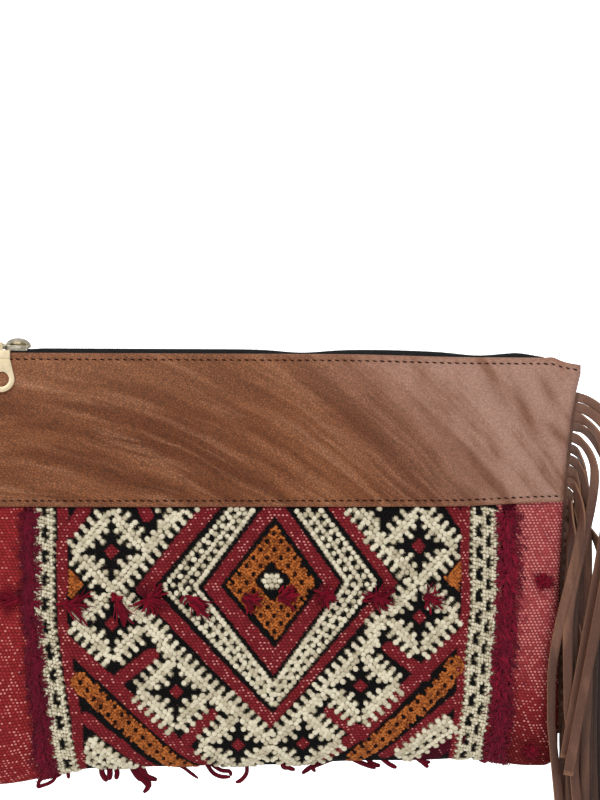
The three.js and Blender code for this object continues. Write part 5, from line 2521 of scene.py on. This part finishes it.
@dataclass
class Fringe:
    """Leather thongs cut from one strip, whose uncut edge is sewn into the right-hand seam."""

    form: BagForm
    top: float = 19.5
    bottom: float = 204.0
    thongs: int = 31
    width: float = 5.3
    thick: float = 1.2
    length: float = 200.0
    spread: float = 8.0
    head_inside: float = 4.6
    head_outside: float = 1.9
    leaving: float = 0.12
    reach_top: float = 31.0
    reach_bottom: float = 3.0
    turn_per_reach: float = 0.82
    bend_twist: float = 1.2
    bend_length: float = 50.0
    hang_twist: float = 0.26
    spread_length: float = 24.0
    sway_length: float = 190.0
    drift_runs: Pair = (12.0, 112.0)
    curl: float = 0.7
    curl_length: float = 23.0
    curl_runs: Pair = (40.0, 120.0)
    wave: float = 0.3
    wave_length: float = 48.0
    wave_runs: Pair = (60.0, 150.0)
    cup: float = 0.35
    cup_runs: Pair = (20.0, 90.0)
    cut_end: float = 1.2
    head_widening: float = 2.0
    head_widens: Pair = (76.0, 86.0)
    head_rings: int = 60
    head_shade: float = 0.6
    # Painted shade of a thong by how far back it hangs: depths y, and their shades
    depths: tuple[float, ...] = (-12.0, -3.0, 3.0, 9.0)
    painted_shade_by_depth: tuple[float, ...] = (0.82, 0.5, 0.25, 0.1)
    steps: int = 56

    def hang(self, number: int) -> Hang:
        """How a thong hangs: by its own row in front, or in the next layer.

        Args:
            number: the thong, from the top.

        Returns:
            Its way of hanging.
        """
        if number in FRONT_THONGS:
            return FRONT_THONGS[number]
        place = number - sum(1 for other in FRONT_THONGS if other < number)
        share = place / (self.thongs - len(FRONT_THONGS) - 1)
        y, sway, phase = LAYERS[place % len(LAYERS)]
        farther = (self.reach_top - self.reach_bottom) * (1.0 - share) ** 3
        return Hang(y, self.reach_bottom + farther, sway, phase)

    def seam(self, down: float, outwards: float) -> np.ndarray:
        """A point of the seam.

        Args:
            down: distance below the zip.
            outwards: distance outside the seam.

        Returns:
            The point.
        """
        at = np.array(down)
        x, z = self.form.half_width(at) + outwards, self.form.height(np.array(1.0), at)
        return np.array([float(x), 0.0, float(z)])

    def line(self, number: int) -> tuple[np.ndarray, np.ndarray]:
        """A thong's run and middle line: level from the seam, round a bend, then hanging.

        Args:
            number: the thong, from the top.

        Returns:
            Distances along it, and its points.
        """
        hang = self.hang(number)
        pitch = (self.bottom - self.top) / self.thongs
        root = self.seam(self.top + (number + 0.5) * pitch, self.head_outside - 1.0)
        length = self.length + self.spread * pick(number) + hang.longer
        run = length * np.linspace(0.0, 1.0, self.steps + 1) ** 1.4
        step = np.diff(run, prepend=0.0)
        middle = run - step / 2
        level = np.exp(-middle / (hang.reach * self.turn_per_reach))
        slope = math.pi / 2 - (math.pi / 2 - self.leaving) * level
        x, z = np.cumsum(step * np.cos(slope)), -np.cumsum(step * np.sin(slope))
        hung = smoothstep(run, 0.0, self.spread_length)
        sway = hang.sway * np.sin(2 * math.pi * (root[2] + z) / self.sway_length + hang.phase)
        back = hang.drift * smoothstep(run, *self.drift_runs)
        back = back + hang.lean * np.maximum(0.0, run - hang.lean_from)
        curl = np.sin(run / self.curl_length + number) * smoothstep(run, *self.curl_runs)
        y = hang.y * hung + self.curl * curl
        return run, np.stack([root[0] + x + hung * sway + back, y, root[2] + z], 1)

    def section(self) -> tuple[np.ndarray, np.ndarray, np.ndarray]:
        """A thong's rounded section: across, through it, and where its cut edge shows.

        Returns:
            Three values for each point of the section.
        """
        lip, turn = 0.93, 0.62
        face = np.array([-lip, -0.5, 0.0, 0.5, lip])
        across = np.concatenate([face, [1.0, 1.0], face[::-1], [-1.0, -1.0]])
        deep = np.ones(len(face))
        through = np.concatenate([-deep, [-turn, turn], deep, [turn, -turn]])
        return across, through, (np.abs(across) > 0.99).astype(float)

    def twist(self, number: int, run: np.ndarray) -> np.ndarray:
        """How far a thong is turned about its own line: in its bend, and as it hangs.

        Args:
            number: the thong, from the top.
            run: distances along it.

        Returns:
            Angles in radians.
        """
        turned = self.bend_twist * (0.5 if number < 2 else 1.0 + 0.2 * pick(number + 7))
        bend = self.bend_length
        in_bend = smoothstep(run, 0.0, 8.0) * (1.0 - smoothstep(run, bend * 0.28, bend * 0.85))
        hanging = self.hang_twist * pick(number + 60) * smoothstep(run, bend / 2, 110.0)
        wave = np.sin(run / self.wave_length + number) * smoothstep(run, *self.wave_runs)
        return turned * in_bend + hanging + self.wave * pick(number + 90) * wave

    def thong(self, number: int) -> tuple[np.ndarray, np.ndarray, np.ndarray]:
        """Cuts and hangs one thong.

        Args:
            number: the thong, from the top.

        Returns:
            Its rings of points, and for each point the cut edge and the shade.
        """
        across, through, cut = self.section()
        run, line = self.line(number)
        ahead = np.gradient(line, axis=0)
        ahead /= np.linalg.norm(ahead, axis=1, keepdims=True)
        flat = np.cross(ahead, [0.0, 1.0, 0.0])
        flat /= np.linalg.norm(flat, axis=1, keepdims=True)
        twist = self.twist(number, run)[:, None]
        wide = flat * np.cos(twist) - np.cross(flat, ahead) * np.sin(twist)
        deep = np.cross(wide, ahead)
        uneven = 0.09 * pick(number + 30) + 0.05 * np.sin(run / 17.0 + 2.0 * number)
        half = self.width / 2 * (1.0 + uneven)
        cup = self.cup * pick(number + 45) * smoothstep(run, *self.cup_runs)
        rings = line[:, None] + wide[:, None] * (half[:, None] * across)[..., None]
        through = self.thick / 2 * through + cup[:, None] * across**2
        rings = rings + deep[:, None] * through[..., None]
        ends = smoothstep(run, run[-1] - self.cut_end, run[-1])
        # Painted shade by depth, plus a tone that differs from thong to thong and along it
        depth = float(np.interp(self.hang(number).y, self.depths, self.painted_shade_by_depth))
        tone = depth + 0.22 * pick(number + 15) + 0.12 * np.sin(run / 40.0 + number)
        shade = np.repeat(np.clip(tone, 0.0, 1.0), len(across))
        return rings, np.maximum(cut[None, :], ends[:, None]).ravel(), shade

    def head(self) -> tuple[np.ndarray, np.ndarray, np.ndarray]:
        """Cuts the strip that the thongs hang from.

        Returns:
            Its rings of points, and for each point the cut edge and the shade.
        """
        half, inner, outer = self.thick / 2, -self.head_inside, self.head_outside
        rings = []
        for down in np.linspace(self.top, self.bottom, self.head_rings):
            edge = outer + self.head_widening * smoothstep(down, *self.head_widens)
            corners = ((inner, -half), (edge, -half), (edge, half), (inner, half))
            rings.append([self.seam(down, out) + [0.0, y, 0.0] for out, y in corners])
        count = len(rings) * 4
        return np.array(rings), np.zeros(count), np.full(count, self.head_shade)

    def build(self, finish: bpy.types.Material) -> bpy.types.Object:
        """Makes the sewn-in head and all the thongs.

        Args:
            finish: the leather.

        Returns:
            The fringe.
        """
        parts = [*(self.thong(number) for number in range(self.thongs)), self.head()]
        faces, start = [], 0
        for rings, _, _ in parts:
            faces += tube_faces(start, *rings.shape[:2])
            start += rings.shape[0] * rings.shape[1]
        points = np.concatenate([rings.reshape(-1, 3) for rings, _, _ in parts])
        fringe = mesh_piece("fringe_thongs", points, faces)
        edge, shade = (np.concatenate([part[k] for part in parts]) for k in (1, 2))
        set_values(fringe, edge=edge, shade=shade)
        form = bmesh.new()
        form.from_mesh(fringe.data)
        bmesh.ops.recalc_face_normals(form, faces=form.faces)
        form.to_mesh(fringe.data)
        form.free()
        fringe.data.materials.append(finish)
        return fringe


@dataclass(frozen=True)
class Lamp:
    """A soft square lamp."""

    name: str
    at: Triple
    size: float
    power: float
    colour: Triple


LAMPS = (
    Lamp("key", (-700.0, -1100.0, 900.0), 900.0, 12.1, (1.0, 0.975, 0.94)),
    Lamp("fill", (900.0, -1200.0, 200.0), 900.0, 4.3, (0.95, 0.975, 1.0)),
    Lamp("back", (200.0, 650.0, 800.0), 700.0, 2.6, (1.0, 1.0, 1.0)),
)


@dataclass
class Studio:
    """White paper, soft lamps and the camera at the photograph's place."""

    distance: float = 900.0
    yaw: float = -3.5
    aim_x: float = 17.0
    eye_z: float = -66.0
    focal_pixels: float = 1686.7
    middle: Pair = (302.2, 473.6)
    picture: Pair = (600.0, 800.0)
    floor: float = -470.0
    wall: float = 3600.0
    wall_bend: float = 420.0
    wall_top: float = 2400.0
    front_edge: float = -3500.0
    near_edge: float = -1200.0
    aim: Triple = (0.0, 0.0, -130.0)
    room: float = 0.4

    def camera(self) -> None:
        """Places the camera."""
        turn = math.radians(self.yaw)
        lens = bpy.data.cameras.new("camera")
        width, height = self.picture
        lens.sensor_width = 36.0
        lens.lens = self.focal_pixels * lens.sensor_width / height
        lens.shift_x = -(self.middle[0] - width / 2) / height
        lens.shift_y = (self.middle[1] - height / 2) / height
        lens.clip_end = 50.0
        eye = bpy.data.objects.new("camera", lens)
        x = self.aim_x + math.sin(turn) * self.distance
        y = -math.cos(turn) * self.distance
        eye.location = (x * MM, y * MM, self.eye_z * MM)
        eye.rotation_euler = (math.pi / 2, 0.0, turn)
        bpy.context.scene.collection.objects.link(eye)
        bpy.context.scene.camera = eye

    def paper(self) -> None:
        """Lays the floor and its rising backdrop as one sheet."""
        bend = self.wall_bend
        turn = np.linspace(0.0, math.pi / 2, 14)
        back, up = self.wall - bend + bend * np.sin(turn), self.floor + bend - bend * np.cos(turn)
        y = [self.front_edge, self.near_edge, *back, self.wall]
        z = [self.floor, self.floor, *up, self.wall_top]
        x = np.array([-3200.0, -1000.0, 1000.0, 3200.0])
        rows = np.stack([np.stack([x, np.full(4, b), np.full(4, c)], -1) for b, c in zip(y, z)])
        sheet = mesh_piece("paper", rows.reshape(-1, 3), grid_faces(len(y), 4, False, True))
        sheet.data.materials.append(StagePaper().material())

    def lamps(self) -> None:
        """Hangs the soft lamps and sets the room's own light."""
        for lamp in LAMPS:
            light = bpy.data.lights.new(lamp.name, "AREA")
            light.energy, light.size, light.color = lamp.power, lamp.size * MM, lamp.colour
            holder = bpy.data.objects.new(lamp.name, light)
            holder.location = Vector(lamp.at) * MM
            aim = Vector(self.aim) * MM - holder.location
            holder.rotation_euler = aim.to_track_quat("-Z", "Y").to_euler()
            bpy.context.scene.collection.objects.link(holder)
        world = bpy.data.worlds.new("room")
        world.use_nodes = True
        room = world.node_tree.nodes["Background"].inputs
        room["Color"].default_value = (1.0, 1.0, 1.0, 1.0)
        room["Strength"].default_value = self.room
        bpy.context.scene.world = world
        bpy.context.scene.view_settings.view_transform = "Standard"


NICKEL = SmoothTrim("nickel", (196, 186, 164), (228, 220, 202), 0.85, 0.26)
PALE_BRASS = SmoothTrim("pale_brass", (229, 209, 171), (241, 223, 189), 0.25, 0.4)
NYLON = SmoothTrim("zip_nylon", (28, 29, 27), (66, 68, 62), 0.0, 0.4, 0.5)
THREAD = SmoothTrim("thread", (44, 22, 15), (66, 36, 26), 0.0, 0.85, 0.12)


def main() -> None:
    """Builds the bag in order, then the studio."""
    logging.basicConfig(level=logging.INFO, format="%(name)s %(message)s")
    form = BagForm()
    rng = np.random.default_rng(5)
    studio = Studio()
    studio.camera()
    kilim = Kilim(form)
    cloth, raised = kilim.build()
    leather, thread = BandLeather().material(), THREAD.material()
    for side, node in ((Side.FRONT, "leather_band_front"), (Side.REAR, "leather_band_back")):
        band = LeatherBand(form, side)
        wall, stitches = band.build(leather), band.stitches(rng, thread)
        settle(wall, BAG, "band_leather", node)
        settle(stitches, BAG, "band_leather")
    zipper = Zip(form)
    twill = ZipCloth().material()
    for side, node in ((Side.FRONT, "zip_tape_front"), (Side.REAR, "zip_tape_back")):
        tape = zipper.build_tape(side, twill)
        settle(tape, BAG, "zip_cloth", node)
    settle(zipper.build_coil(rng, NYLON.material()), BAG, "zip_teeth", "zip_chain")
    settle(Slider().build(NICKEL.material()), BAG, "pale_brass", "zip_slider")
    settle(Pull().build(PALE_BRASS.material()), PULL, "pale_brass", "zip_pull")
    fringe = Fringe(form).build(ThongLeather().material())
    settle(fringe, BAG, "fringe_leather", "side_fringe")
    studio.paper()
    studio.lamps()


if __name__ == "__main__":
    main()
